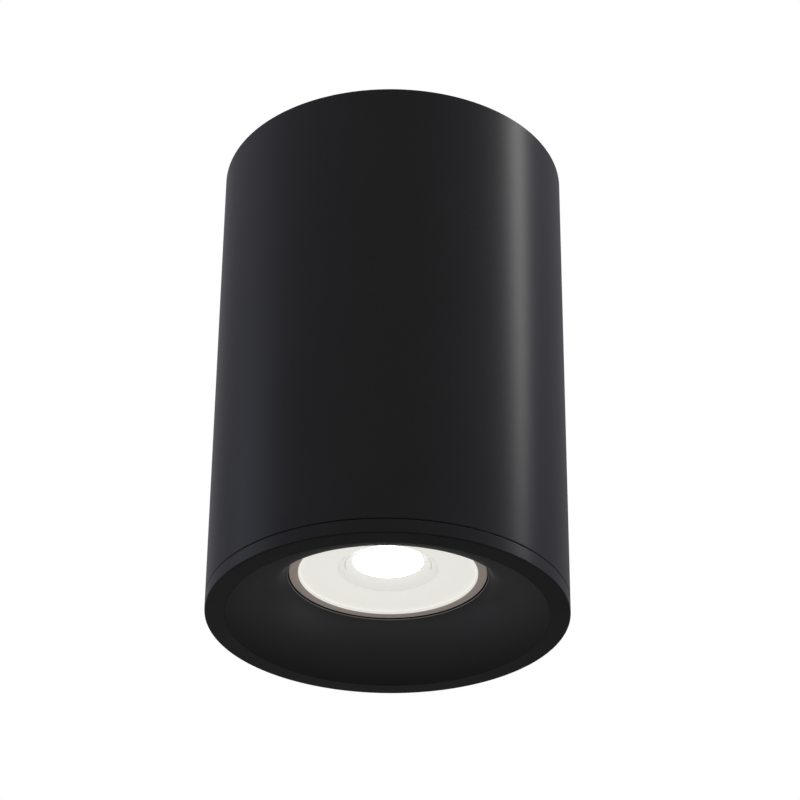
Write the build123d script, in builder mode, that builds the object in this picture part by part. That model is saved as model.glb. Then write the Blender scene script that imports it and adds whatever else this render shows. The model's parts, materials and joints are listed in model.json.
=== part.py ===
from build123d import *
from math import cos, radians, sin
import os

os.makedirs("parts", exist_ok=True)

# A surface-mounted ceiling spotlight: a plain cylinder that hangs on a ceiling plate, with a
# screwed front ring, a horn-shaped anti-glare baffle and a 50 mm twist-lock lamp behind it.
# Millimetres, +Z up. The origin is the centre of the ceiling plane, on the lamp's axis, and the
# body hangs below it. The two side screws lie on the X axis, the terminal block on the +Y side.

# Whole light
total_height = 130.0
housing_radius = 45.5
housing_wall = 2.5
ceiling_gap = 0.3
edge_radius = 0.35

# Clearances
slide_clearance = 0.6
thread_clearance = 0.08
turn_clearance = 0.08
screw_clearance = 0.05
seat_gap = 0.05

# Front ring
ring_face_width = 4.5
ring_band_height = 3.4
ring_seam = 0.35
ring_neck_length = 8.0
ring_neck_wall = 1.3
ring_ledge_height = 1.8

# Baffle: the horn's two tangent arcs run from the rim to the throat and on to the lamp hole
throat_share = 0.52
throat_height = 2.8
lamp_hole_gap = 0.35
lamp_hole_height = 11.65
horn_rim_angle = 15.6
baffle_wall = 1.5
baffle_collar_height = 3.0
baffle_flange_width = 0.6
baffle_flange_height = 1.2

# Lamp
lamp_radius = 25.0
lamp_recess = 12.0
lamp_length = 50.0
bezel_width = 2.35
bezel_lip_height = 2.0
bezel_depth = 5.0
bezel_wall = 1.4
lens_setback = 0.05
lens_rise = 1.55
lens_wall = 1.3
lens_flange_height = 1.0
lens_mouth_radius = 12.5
window_radius = 8.9
window_depth = 2.0
window_thickness = 1.2
led_radius = 6.5
led_height = 0.8
board_radius = 21.0
board_thickness = 1.6
spreader_thickness = 3.0
shell_band_height = 4.0
shell_length = 37.0
shell_top_radius = 15.5
shell_cavity_radius = 11.6
spigot_width = 1.6
fin_count = 24
fin_slot_width = 2.2
fin_root_radius = 14.0
fin_margin = 3.0
driver_width = 17.0
driver_length = 27.0
driver_thickness = 1.6
coil_width = 9.0
coil_height = 10.0
coil_depth = 6.5
capacitor_radius = 3.2
capacitor_length = 11.0
capacitor_round = 0.8
coil_round = 1.3

# Lamp base and its two mushroom pins
base_flange_height = 2.0
base_stub_radius = 9.6
base_wall = 1.9
base_neck_length = 4.0
pin_spacing = 10.0
pin_neck_radius = 1.5
pin_head_radius = 2.45
pin_neck_length = 4.2
pin_head_height = 2.6
pin_head_round = 0.85
pin_root_length = 1.6

# Lamp holder: entry holes and arc slots for the twist
lamp_twist_angle = 25.0
holder_radius = 13.5
holder_height = 18.5
holder_gap = 0.3
holder_face_height = 3.4
holder_screw_bite = 2.6
pin_slot_clearance = 0.3
holder_edge = 1.0
holder_chamber_margin = 0.5
holder_cap_height = 3.0
holder_screw_offset = 10.0
contact_thickness = 0.5
contact_width = 3.6
contact_gap = 0.15
contact_foot_gap = 0.6
crimp_radius = 1.7
crimp_length = 5.0

# Holder plate and the posts that carry it
plate_thickness = 1.2
plate_flat_inset = 6.5
plate_clearance = 0.6
post_radius = 4.0
post_inset = 5.5
post_length = 14.0
post_hole_depth = 9.0
post_count = 3
post_start_angle = 30.0

# Machine screws of 3 mm
screw_radius = 1.5
screw_head_radius = 2.75
screw_head_height = 2.0
screw_head_round = 0.8
screw_length = 6.0
screw_slot_width = 0.8
screw_slot_depth = 0.9

# Side screws
side_screw_height = 6.0
side_screw_setback = 0.3
side_socket_radius = 0.87
side_socket_depth = 1.2

# Terminal block
pole_spacing = 9.5
pole_count = 3
block_depth = 17.0
block_height = 13.0
block_end = 4.4
block_share = 0.38
block_shoulder = 2.2
block_corner = 1.0
lobe_wall = 0.4
lobe_inset = 1.0
clamp_height = 6.3
clamp_radius = 2.7
clamp_bore = 1.7
clamp_length = 15.0
clamp_screw_offset = 4.2
clamp_screw_radius = 1.3
clamp_screw_sink = 0.8
clamp_screw_slot_width = 0.6

# Wires
wire_radius = 1.1
wire_bend = 6.0
earth_bend = 10.0
wire_tail = 5.5
earth_lug_x = -20.0
earth_lug_y = -20.0
lug_radius = 3.4
lug_thickness = 0.8
lug_barrel_length = 6.0
lug_barrel_wall = 0.6
lug_barrel_offset = 4.4

# Ceiling plate
ceiling_plate_thickness = 1.2
ceiling_flange_depth = 12.0
ceiling_flange_radius = 2.0
slot_spacing = 60.0
slot_length = 12.0
slot_width = 4.5
emboss_radius = 14.0
emboss_depth = 2.5
emboss_slope = 2.0
entry_radius = 9.0
base_earth_offset = 25.0
base_earth_radius = 2.0
base_earth_head_radius = 3.8
base_earth_head_height = 2.6
base_earth_head_round = 0.85
base_earth_washer_radius = 4.6
base_earth_washer_height = 0.8

# Cable grommet
grommet_bore = 4.0
grommet_flange_width = 2.4
grommet_flange_height = 1.3
grommet_spout_length = 3.5
grommet_spout_radius = 5.6

# Levels, from the rim up
rim_z = -total_height
housing_bottom_z = rim_z + ring_band_height + ring_seam
housing_top_z = -ceiling_gap
bezel_z = rim_z + lamp_recess
lamp_top_z = bezel_z + lamp_length
holder_z = lamp_top_z + holder_gap
holder_top_z = holder_z + holder_height
plate_z = holder_top_z + holder_cap_height
plate_top_z = plate_z + plate_thickness
clamp_z = plate_top_z + clamp_height
side_screw_z = housing_top_z - side_screw_height

# Radii that several pieces share
housing_bore = housing_radius - housing_wall
rim_bore = housing_radius - ring_face_width
post_pitch_radius = housing_bore - post_inset
pin_radius = pin_spacing / 2
lens_radius = lamp_radius - bezel_width
lamp_hole_radius = lamp_radius + lamp_hole_gap
entry_angle = -lamp_twist_angle


def screw_solid(x, y, seat_z, length):
    """One pan-head machine screw whose head sits on seat_z and whose shank points down."""
    with BuildPart() as screw:
        with BuildSketch(Plane.XY.offset(seat_z)):
            with Locations((x, y)):
                Circle(screw_head_radius)
        extrude(amount=screw_head_height)
        fillet(screw.edges().group_by(Axis.Z)[-1], screw_head_round)
        with BuildSketch(Plane.XY.offset(seat_z)):
            with Locations((x, y)):
                Circle(screw_radius)
        extrude(amount=-length)
        with BuildSketch(Plane.XY.offset(seat_z + screw_head_height)):
            with Locations((x, y)):
                Rectangle(2 * screw_head_radius, screw_slot_width)
        extrude(amount=-screw_slot_depth, mode=Mode.SUBTRACT)
    return screw.part


def group(name, solids):
    """Separate solids that share one node."""
    node = Compound(children=solids)
    node.label = name
    export_step(node, "parts/" + name + ".step")


# Housing: a straight tube with two tapped holes near the top
with BuildPart() as housing:
    with BuildSketch(Plane.XY.offset(housing_bottom_z)):
        Circle(housing_radius)
        Circle(housing_bore, mode=Mode.SUBTRACT)
    extrude(amount=housing_top_z - housing_bottom_z)
    outer_edges = housing.edges().filter_by(GeomType.CIRCLE).group_by(SortBy.RADIUS)[-1]
    fillet(outer_edges, edge_radius)
    with BuildSketch(Plane.YZ):
        with Locations((0, side_screw_z)):
            Circle(screw_radius + screw_clearance)
    extrude(amount=housing_radius, both=True, mode=Mode.SUBTRACT)
housing.part.label = "housing"
export_step(housing.part, "parts/housing.step")


# Posts: blocks bonded to the housing's wall, tapped for the holder plate's screws
def plate_post(angle):
    """One post, with its round side towards the lamp's axis."""
    top = Plane.XY.offset(plate_z).rotated((0, 0, angle))
    with BuildPart() as post:
        with BuildSketch(top):
            with Locations((post_pitch_radius, 0)):
                Circle(post_radius)
            with Locations((post_pitch_radius + post_inset / 2, 0)):
                Rectangle(post_inset, 2 * post_radius)
            Circle(housing_bore - seat_gap, mode=Mode.INTERSECT)
        extrude(amount=-post_length)
        with BuildSketch(top):
            with Locations((post_pitch_radius, 0)):
                Circle(screw_radius + screw_clearance)
        extrude(amount=-post_hole_depth, mode=Mode.SUBTRACT)
    return post.part


post_angles = [post_start_angle + index * 360 / post_count for index in range(post_count)]
group("plate_posts", [plate_post(angle) for angle in post_angles])


# Front ring: the band below the seam, a ledge for the baffle and the neck that screws inside
ring_neck_radius = housing_bore - thread_clearance
ring_neck_bore = ring_neck_radius - ring_neck_wall
ring_ledge_z = rim_z + ring_ledge_height
ring_shoulder_z = rim_z + ring_band_height
with BuildPart() as front_ring:
    with BuildSketch(Plane.XZ):
        with BuildLine():
            Polyline(
                (rim_bore, rim_z),
                (housing_radius, rim_z),
                (housing_radius, ring_shoulder_z),
                (ring_neck_radius, ring_shoulder_z),
                (ring_neck_radius, ring_shoulder_z + ring_neck_length),
                (ring_neck_bore, ring_shoulder_z + ring_neck_length),
                (ring_neck_bore, ring_ledge_z),
                (rim_bore, ring_ledge_z),
                close=True,
            )
        make_face()
    revolve(axis=Axis.Z)
    band_edges = front_ring.edges().filter_by(GeomType.CIRCLE).group_by(SortBy.RADIUS)[-1]
    fillet(band_edges.sort_by(Axis.Z)[0], edge_radius)
front_ring.part.label = "front_ring"
export_step(front_ring.part, "parts/front_ring.step")


# Baffle: a horn of even wall, flush with the ring's face, with a flange that rests on the ledge
lip_radius = rim_bore - turn_clearance
throat_radius = lamp_hole_radius + throat_share * (lip_radius - lamp_hole_radius)
throat_z = rim_z + throat_height
lamp_hole_z = rim_z + lamp_hole_height
flange_z = ring_ledge_z + seat_gap


def behind(curve, at):
    """The point one wall thickness behind a curve that runs inward and up."""
    direction = curve % at
    return curve @ at + Vector(direction.Y, -direction.X) * baffle_wall


with BuildPart() as baffle:
    with BuildSketch(Plane.XZ):
        with BuildLine():
            mouth_curve = TangentArc(
                (lip_radius, rim_z),
                (throat_radius, throat_z),
                tangent=(-cos(radians(horn_rim_angle)), sin(radians(horn_rim_angle))),
            )
            throat_curve = TangentArc(
                mouth_curve @ 1,
                (lamp_hole_radius, lamp_hole_z),
                tangent=mouth_curve % 1,
            )
            collar_top_z = lamp_hole_z + baffle_collar_height
            collar_back = (lamp_hole_radius + baffle_wall, behind(throat_curve, 1).Y)
            Polyline(
                throat_curve @ 1,
                (lamp_hole_radius, collar_top_z),
                (lamp_hole_radius + baffle_wall, collar_top_z),
                collar_back,
            )
            back_curve = TangentArc(
                collar_back,
                behind(throat_curve, 0),
                tangent=(throat_curve % 1) * -1,
            )
            Polyline(
                back_curve @ 1,
                (lip_radius - 2 * baffle_wall, flange_z + baffle_flange_height),
                (lip_radius + baffle_flange_width, flange_z + baffle_flange_height),
                (lip_radius + baffle_flange_width, flange_z),
                (lip_radius, flange_z),
                mouth_curve @ 0,
            )
        make_face()
    revolve(axis=Axis.Z)
baffle.part.label = "baffle"
export_step(baffle.part, "parts/baffle.step")


# Lamp bezel: the ring round the lamp's face
bezel_top_z = bezel_z + bezel_depth
bezel_lip_z = bezel_z + bezel_lip_height
bezel_bore = lamp_radius - bezel_wall
with BuildPart() as lamp_bezel:
    with BuildSketch(Plane.XZ):
        with BuildLine():
            Polyline(
                (lens_radius, bezel_z),
                (lamp_radius, bezel_z),
                (lamp_radius, bezel_top_z),
                (bezel_bore, bezel_top_z),
                (bezel_bore, bezel_lip_z),
                (lens_radius, bezel_lip_z),
                close=True,
            )
        make_face()
    revolve(axis=Axis.Z)
    face_edges = lamp_bezel.edges().group_by(Axis.Z)[0].sort_by(SortBy.RADIUS)
    fillet(face_edges[-1], edge_radius)
lamp_bezel.part.label = "lamp_bezel"
export_step(lamp_bezel.part, "parts/lamp_bezel.step")


# Lamp lens: a shallow white dish with a deep mouth in the middle
lens_z = bezel_z + lens_setback
mouth_z = lens_z + lens_rise
window_z = mouth_z + window_depth
lens_flange_z = bezel_lip_z + seat_gap
with BuildPart() as lamp_lens:
    with BuildSketch(Plane.XZ):
        with BuildLine():
            Polyline(
                (lens_radius - seat_gap, lens_z),
                (lens_mouth_radius, mouth_z),
                (window_radius, window_z),
                (window_radius, window_z + lens_wall),
                (window_radius + lens_wall, window_z + lens_wall),
                (lens_mouth_radius + lens_wall, mouth_z + lens_wall),
                (lens_radius - lens_wall, lens_flange_z + lens_flange_height),
                (bezel_bore - seat_gap, lens_flange_z + lens_flange_height),
                (bezel_bore - seat_gap, lens_flange_z),
                (lens_radius - seat_gap, lens_flange_z),
                close=True,
            )
        make_face()
    revolve(axis=Axis.Z)
lamp_lens.part.label = "lamp_lens"
export_step(lamp_lens.part, "parts/lamp_lens.step")


# Window over the light source, in the bottom of the lens's mouth
with BuildPart() as lens_window:
    with BuildSketch(Plane.XY.offset(window_z)):
        Circle(window_radius - seat_gap)
    extrude(amount=window_thickness)
lens_window.part.label = "lens_window"
export_step(lens_window.part, "parts/lens_window.step")


# Heat-sink shell: spigot for the bezel, platform for the board, tapered body with fins
spigot_z = lens_flange_z + lens_flange_height + seat_gap
board_z = window_z + lens_wall + led_height + seat_gap
platform_z = board_z + board_thickness
cavity_z = platform_z + spreader_thickness
shell_top_z = bezel_top_z + shell_length
shell_spigot_radius = bezel_bore - seat_gap
with BuildPart() as lamp_shell:
    with BuildSketch(Plane.XZ):
        with BuildLine():
            Polyline(
                (shell_spigot_radius - spigot_width, platform_z),
                (shell_spigot_radius - spigot_width, spigot_z),
                (shell_spigot_radius, spigot_z),
                (shell_spigot_radius, bezel_top_z + seat_gap),
                (lamp_radius, bezel_top_z + seat_gap),
                (lamp_radius, bezel_top_z + shell_band_height),
            )
            taper_start = (lamp_radius, bezel_top_z + shell_band_height)
            TangentArc(taper_start, (shell_top_radius, shell_top_z), tangent=(0, 1))
            Polyline(
                (shell_top_radius, shell_top_z),
                (shell_cavity_radius, shell_top_z),
                (shell_cavity_radius, cavity_z),
                (0, cavity_z),
                (0, platform_z),
                (shell_spigot_radius - spigot_width, platform_z),
            )
        make_face()
    revolve(axis=Axis.Z)
    fin_bottom_z = bezel_top_z + shell_band_height + fin_margin
    fin_slot_length = lamp_radius - fin_root_radius
    with BuildSketch(Plane.XY.offset(fin_bottom_z)):
        with PolarLocations(fin_root_radius + fin_slot_length / 2, fin_count):
            Rectangle(fin_slot_length, fin_slot_width)
    extrude(amount=shell_top_z - fin_margin - fin_bottom_z, mode=Mode.SUBTRACT)
lamp_shell.part.label = "lamp_shell"
export_step(lamp_shell.part, "parts/lamp_shell.step")


# LED board and the round light source on it
with BuildPart() as led_board:
    with BuildSketch(Plane.XY.offset(board_z)):
        Circle(board_radius)
    extrude(amount=board_thickness)
led_board.part.label = "led_board"
export_step(led_board.part, "parts/led_board.step")

with BuildPart() as led_chip:
    with BuildSketch(Plane.XY.offset(board_z)):
        Circle(led_radius)
    extrude(amount=-led_height)
led_chip.part.label = "led_chip"
export_step(led_chip.part, "parts/led_chip.step")


# Driver: an upright board on the platform, with a coil on one face and a capacitor on the other
driver_z = cavity_z
with BuildPart() as driver_board:
    with BuildSketch(Plane.XY.offset(driver_z)):
        Rectangle(driver_width, driver_thickness)
    extrude(amount=driver_length)
driver_board.part.label = "driver_board"
export_step(driver_board.part, "parts/driver_board.step")

coil_face_y = driver_thickness / 2
with BuildPart() as driver_coil:
    with BuildSketch(Plane.XY.offset(driver_z + fin_margin)):
        with Locations((0, coil_face_y + coil_depth / 2)):
            RectangleRounded(coil_width, coil_depth, coil_round)
    extrude(amount=coil_height)
driver_coil.part.label = "driver_coil"
export_step(driver_coil.part, "parts/driver_coil.step")

with BuildPart() as driver_capacitor:
    with BuildSketch(Plane.XY.offset(driver_z + fin_margin)):
        with Locations((0, -driver_thickness / 2 - capacitor_radius)):
            Circle(capacitor_radius)
    extrude(amount=capacitor_length)
    fillet(driver_capacitor.edges().group_by(Axis.Z)[-1], capacitor_round)
driver_capacitor.part.label = "driver_capacitor"
export_step(driver_capacitor.part, "parts/driver_capacitor.step")


# Lamp base: plugs into the shell, carries the pins and ends flat under the holder
base_flange_z = shell_top_z + seat_gap
base_shoulder_z = base_flange_z + base_flange_height
base_neck_radius = shell_cavity_radius - seat_gap
base_neck_bore = base_neck_radius - base_wall
base_roof_z = lamp_top_z - base_wall
with BuildPart() as lamp_base:
    with BuildSketch(Plane.XZ):
        with BuildLine():
            Polyline(
                (base_neck_bore, base_flange_z - base_neck_length),
                (base_neck_radius, base_flange_z - base_neck_length),
                (base_neck_radius, base_flange_z),
                (shell_top_radius, base_flange_z),
                (shell_top_radius, base_shoulder_z),
                (base_stub_radius, (base_shoulder_z + base_roof_z) / 2),
                (base_stub_radius, lamp_top_z),
                (0, lamp_top_z),
                (0, base_roof_z),
                (base_stub_radius - base_wall, base_roof_z),
                (base_stub_radius - base_wall, base_shoulder_z),
                (base_neck_bore, base_flange_z),
                close=True,
            )
        make_face()
    revolve(axis=Axis.Z)
    with Locations(Plane.XY.offset(lamp_top_z)):
        with GridLocations(pin_spacing, 0, 2, 1):
            Hole(pin_neck_radius + screw_clearance, depth=base_wall)
lamp_base.part.label = "lamp_base"
export_step(lamp_base.part, "parts/lamp_base.step")


# Mushroom pins: a neck that runs in the holder's slot and a head that hooks behind its lip
pin_head_z = lamp_top_z + pin_neck_length


def lamp_pin(side):
    """One pin, at the +X or -X side."""
    with BuildPart() as pin:
        with BuildSketch(Plane.XY.offset(lamp_top_z - pin_root_length)):
            with Locations((side * pin_radius, 0)):
                Circle(pin_neck_radius)
        extrude(amount=pin_root_length + pin_neck_length)
        with BuildSketch(Plane.XY.offset(pin_head_z)):
            with Locations((side * pin_radius, 0)):
                Circle(pin_head_radius)
        extrude(amount=pin_head_height)
        fillet(pin.edges().group_by(Axis.Z)[-1], pin_head_round)
    return pin.part


group("lamp_pins", [lamp_pin(-1), lamp_pin(1)])


# Holder face: a ceramic disc with two key-shaped slots that the pins twist into
def pin_arc(side):
    """The line that a pin's centre follows from its entry hole to its locked place."""
    start_angle = entry_angle if side > 0 else 180 + entry_angle
    return CenterArc((0, 0), pin_radius, start_angle, lamp_twist_angle, mode=Mode.PRIVATE)


pin_slot_width = 2 * (pin_neck_radius + pin_slot_clearance)
pin_chamber_width = 2 * (pin_head_radius + pin_slot_clearance)
chamber_z = holder_z + holder_face_height
with BuildPart() as holder_face:
    with BuildSketch(Plane.XY.offset(holder_z)):
        Circle(holder_radius)
    extrude(amount=holder_face_height)
    chamfer(holder_face.edges().group_by(Axis.Z)[0], holder_edge)
    with BuildSketch(Plane.XY.offset(holder_z)):
        for side in (-1, 1):
            SlotArc(pin_arc(side), pin_slot_width)
            entry = pin_arc(side) @ 0
            with Locations((entry.X, entry.Y)):
                Circle(pin_chamber_width / 2)
    extrude(amount=holder_face_height, mode=Mode.SUBTRACT)
    with Locations(Plane.XY.offset(chamber_z)):
        with GridLocations(0, 2 * holder_screw_offset, 1, 2):
            Hole(screw_radius + screw_clearance, depth=holder_screw_bite)
holder_face.part.label = "holder_face"
export_step(holder_face.part, "parts/holder_face.step")


# Lamp holder: the ceramic body on the face, with a square chamber above each slot
contact_x = pin_radius + pin_head_radius + contact_gap
chamber_inner = pin_radius - pin_chamber_width / 2 - holder_chamber_margin
chamber_outer = contact_x + contact_thickness + holder_chamber_margin
chamber_sweep = pin_radius * sin(radians(lamp_twist_angle))
with BuildPart() as lamp_holder:
    with BuildSketch(Plane.XY.offset(chamber_z + seat_gap)):
        Circle(holder_radius)
        for side in (-1, 1):
            with Locations(
                (side * (chamber_inner + chamber_outer) / 2, -side * chamber_sweep / 2)
            ):
                Rectangle(
                    chamber_outer - chamber_inner,
                    pin_chamber_width + chamber_sweep,
                    mode=Mode.SUBTRACT,
                )
        with GridLocations(0, 2 * holder_screw_offset, 1, 2):
            Circle(screw_radius + pin_slot_clearance, mode=Mode.SUBTRACT)
    extrude(amount=holder_height - holder_face_height - 2 * seat_gap)
lamp_holder.part.label = "lamp_holder"
export_step(lamp_holder.part, "parts/lamp_holder.step")


# Contacts: a leaf beside each pin head, with a crimp barrel for the wire at its top
crimp_top_z = holder_top_z - contact_foot_gap
crimp_bore = wire_radius + screw_clearance
crimp_x = contact_x + contact_thickness / 2 - crimp_radius


def holder_contact(side):
    """One contact, at the +X or -X side."""
    leaf_z = chamber_z + contact_foot_gap
    with BuildPart() as contact:
        with BuildSketch(Plane.XY.offset(leaf_z)):
            with Locations((side * (contact_x + contact_thickness / 2), 0)):
                Rectangle(contact_thickness, contact_width)
        extrude(amount=crimp_top_z - leaf_z)
        with BuildSketch(Plane.XY.offset(crimp_top_z)):
            with Locations((side * crimp_x, 0)):
                Circle(crimp_radius)
        extrude(amount=-crimp_length)
        with BuildSketch(Plane.XY.offset(crimp_top_z)):
            with Locations((side * crimp_x, 0)):
                Circle(crimp_bore)
        extrude(amount=-crimp_length, mode=Mode.SUBTRACT)
    return contact.part


group("holder_contacts", [holder_contact(-1), holder_contact(1)])


# Holder cap: closes the chambers and leads the wires out
with BuildPart() as holder_cap:
    with BuildSketch(Plane.XY.offset(holder_top_z)):
        Circle(holder_radius)
        with GridLocations(2 * crimp_x, 0, 2, 1):
            Circle(wire_radius + pin_slot_clearance, mode=Mode.SUBTRACT)
        with GridLocations(0, 2 * holder_screw_offset, 1, 2):
            Circle(screw_radius + pin_slot_clearance, mode=Mode.SUBTRACT)
    extrude(amount=holder_cap_height)
holder_cap.part.label = "holder_cap"
export_step(holder_cap.part, "parts/holder_cap.step")


# Terminal block places, between the holder's screw heads and the edge of the plate under it
plate_radius = housing_bore - plate_clearance
screw_head_end = holder_screw_offset + screw_head_radius
block_y = screw_head_end + block_share * (plate_radius - screw_head_end)
pole_xs = [(index - (pole_count - 1) / 2) * pole_spacing for index in range(pole_count)]
block_screw_xs = [x + pole_spacing / 2 for x in pole_xs[:-1]]
block_width = (pole_count - 1) * pole_spacing + 2 * block_end


# Holder plate: a disc with two flats that rests on the posts
with BuildPart() as holder_plate:
    with BuildSketch(Plane.XY.offset(plate_z)):
        Circle(plate_radius)
        Rectangle(2 * (plate_radius - plate_flat_inset), 2 * plate_radius, mode=Mode.INTERSECT)
        with GridLocations(2 * crimp_x, 0, 2, 1):
            Circle(2 * wire_radius, mode=Mode.SUBTRACT)
        with GridLocations(0, 2 * holder_screw_offset, 1, 2):
            Circle(screw_radius + screw_clearance, mode=Mode.SUBTRACT)
        with PolarLocations(post_pitch_radius, post_count, post_start_angle):
            Circle(screw_radius + screw_clearance, mode=Mode.SUBTRACT)
        with Locations([(x, block_y) for x in block_screw_xs]):
            Circle(screw_radius + screw_clearance, mode=Mode.SUBTRACT)
        with Locations((earth_lug_x, earth_lug_y)):
            Circle(screw_radius + screw_clearance, mode=Mode.SUBTRACT)
    extrude(amount=plate_thickness)
holder_plate.part.label = "holder_plate"
export_step(holder_plate.part, "parts/holder_plate.step")


# Screws that hold the plate on the posts, and the ceramic stack under the plate
post_places = PolarLocations(post_pitch_radius, post_count, post_start_angle).locations
group(
    "plate_screws",
    [
        screw_solid(place.position.X, place.position.Y, plate_top_z, screw_length)
        for place in post_places
    ],
)

holder_screw_length = plate_top_z - chamber_z + holder_screw_bite - screw_clearance
holder_screw_ys = (-holder_screw_offset, holder_screw_offset)
group(
    "holder_screws",
    [screw_solid(0, y, plate_top_z, holder_screw_length) for y in holder_screw_ys],
)


# Side screws: grub screws that bear on the ceiling plate's flange
ceiling_flange_outer = housing_bore - slide_clearance
side_screw_length = housing_radius - side_screw_setback - ceiling_flange_outer - seat_gap


def side_screw(side):
    """One grub screw, at the +X or -X side."""
    with BuildPart() as screw:
        with BuildSketch(Plane.YZ.offset(side * (ceiling_flange_outer + seat_gap))):
            with Locations((0, side_screw_z)):
                Circle(screw_radius)
        extrude(amount=side * side_screw_length)
        with BuildSketch(Plane.YZ.offset(side * housing_radius)):
            with Locations((0, side_screw_z)):
                RegularPolygon(side_socket_radius, 6)
        extrude(amount=-side * (side_socket_depth + side_screw_setback), mode=Mode.SUBTRACT)
    return screw.part


group("side_screws", [side_screw(-1), side_screw(1)])


# Terminal block: a moulding with a lobe and two screw wells over each pole
lobe_width = 2 * (clamp_radius + lobe_wall)
with BuildPart() as terminal_block:
    with BuildSketch(Plane.XY.offset(plate_top_z)):
        with Locations((0, block_y)):
            RectangleRounded(block_width, block_depth, block_corner)
    extrude(amount=block_height - block_shoulder)
    with BuildSketch(Plane.XY.offset(plate_top_z + block_height - block_shoulder)):
        with Locations([(x, block_y) for x in pole_xs]):
            RectangleRounded(lobe_width, block_depth - 2 * lobe_inset, block_corner)
    extrude(amount=block_shoulder)
    with BuildSketch(Plane.XZ.offset(-(block_y + block_depth / 2))):
        with Locations([(x, clamp_z) for x in pole_xs]):
            Circle(clamp_radius + screw_clearance)
    extrude(amount=block_depth, mode=Mode.SUBTRACT)
    with BuildSketch(Plane.XY.offset(plate_top_z + block_height)):
        for x in pole_xs:
            with Locations(
                (x, block_y - clamp_screw_offset),
                (x, block_y + clamp_screw_offset),
            ):
                Circle(clamp_screw_radius + 2 * screw_clearance)
    extrude(amount=clamp_height - block_height, mode=Mode.SUBTRACT)
    with BuildSketch(Plane.XY.offset(plate_top_z + block_height)):
        with Locations([(x, block_y) for x in block_screw_xs]):
            Circle(screw_radius + screw_clearance)
    extrude(amount=-block_height, mode=Mode.SUBTRACT)
    with BuildSketch(Plane.XY.offset(plate_top_z + block_height)):
        with Locations([(x, block_y) for x in block_screw_xs]):
            Circle(screw_head_radius + 2 * screw_clearance)
    extrude(amount=-block_shoulder, mode=Mode.SUBTRACT)
terminal_block.part.label = "terminal_block"
export_step(terminal_block.part, "parts/terminal_block.step")


# Brass clamp tubes in the block, each with two cross holes for its screws
def terminal_clamp(x):
    """The tube of the pole at x."""
    with BuildPart() as clamp:
        with BuildSketch(Plane.XZ.offset(-(block_y + clamp_length / 2))):
            with Locations((x, clamp_z)):
                Circle(clamp_radius)
                Circle(clamp_bore, mode=Mode.SUBTRACT)
        extrude(amount=clamp_length)
        with BuildSketch(Plane.XY.offset(clamp_z + clamp_radius)):
            with Locations(
                (x, block_y - clamp_screw_offset),
                (x, block_y + clamp_screw_offset),
            ):
                Circle(clamp_screw_radius + screw_clearance)
        extrude(amount=-clamp_radius, mode=Mode.SUBTRACT)
    return clamp.part


group("terminal_clamps", [terminal_clamp(x) for x in pole_xs])


# Headless slotted screws that press the wires in the clamps
def clamp_screw(x, y):
    """One clamp screw, from above the wire to just below the block's top."""
    screw_top_z = plate_top_z + block_height - clamp_screw_sink
    with BuildPart() as screw:
        with BuildSketch(Plane.XY.offset(clamp_z + wire_radius + screw_clearance)):
            with Locations((x, y)):
                Circle(clamp_screw_radius)
        extrude(amount=screw_top_z - clamp_z - wire_radius - screw_clearance)
        with BuildSketch(Plane.XY.offset(screw_top_z)):
            with Locations((x, y)):
                Rectangle(2 * clamp_screw_radius, clamp_screw_slot_width)
        extrude(amount=-clamp_screw_slot_width, mode=Mode.SUBTRACT)
    return screw.part


clamp_screw_ys = (block_y - clamp_screw_offset, block_y + clamp_screw_offset)
group("terminal_screws", [clamp_screw(x, y) for x in pole_xs for y in clamp_screw_ys])

block_screw_seat_z = plate_top_z + block_height - block_shoulder
block_screw_length = block_height - block_shoulder + plate_thickness
group(
    "block_screws",
    [screw_solid(x, block_y, block_screw_seat_z, block_screw_length) for x in block_screw_xs],
)


# Lamp wires: from the block's outer poles along the plate and down into the crimp barrels
wire_start_y = block_y - block_depth / 2 + wire_tail
wire_clear_y = block_y - block_depth / 2 - wire_radius
wire_end_z = crimp_top_z - crimp_length / 2


def lamp_wire(name, pole_x, end_x):
    """A wire with one wide bend, from its pole to its crimp."""
    with BuildPart() as wire:
        with BuildLine() as route:
            FilletPolyline(
                (pole_x, wire_start_y, clamp_z),
                (pole_x, wire_clear_y, clamp_z),
                (end_x, 0, clamp_z),
                (end_x, 0, wire_end_z),
                radius=(earth_bend, wire_bend),
            )
        with BuildSketch(Plane(route.line @ 0, z_dir=route.line % 0)):
            Circle(wire_radius)
        sweep(path=route.line)
    wire.part.label = name
    export_step(wire.part, "parts/" + name + ".step")


lamp_wire("neutral_wire", pole_xs[0], -crimp_x)
lamp_wire("live_wire", pole_xs[-1], crimp_x)


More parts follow.
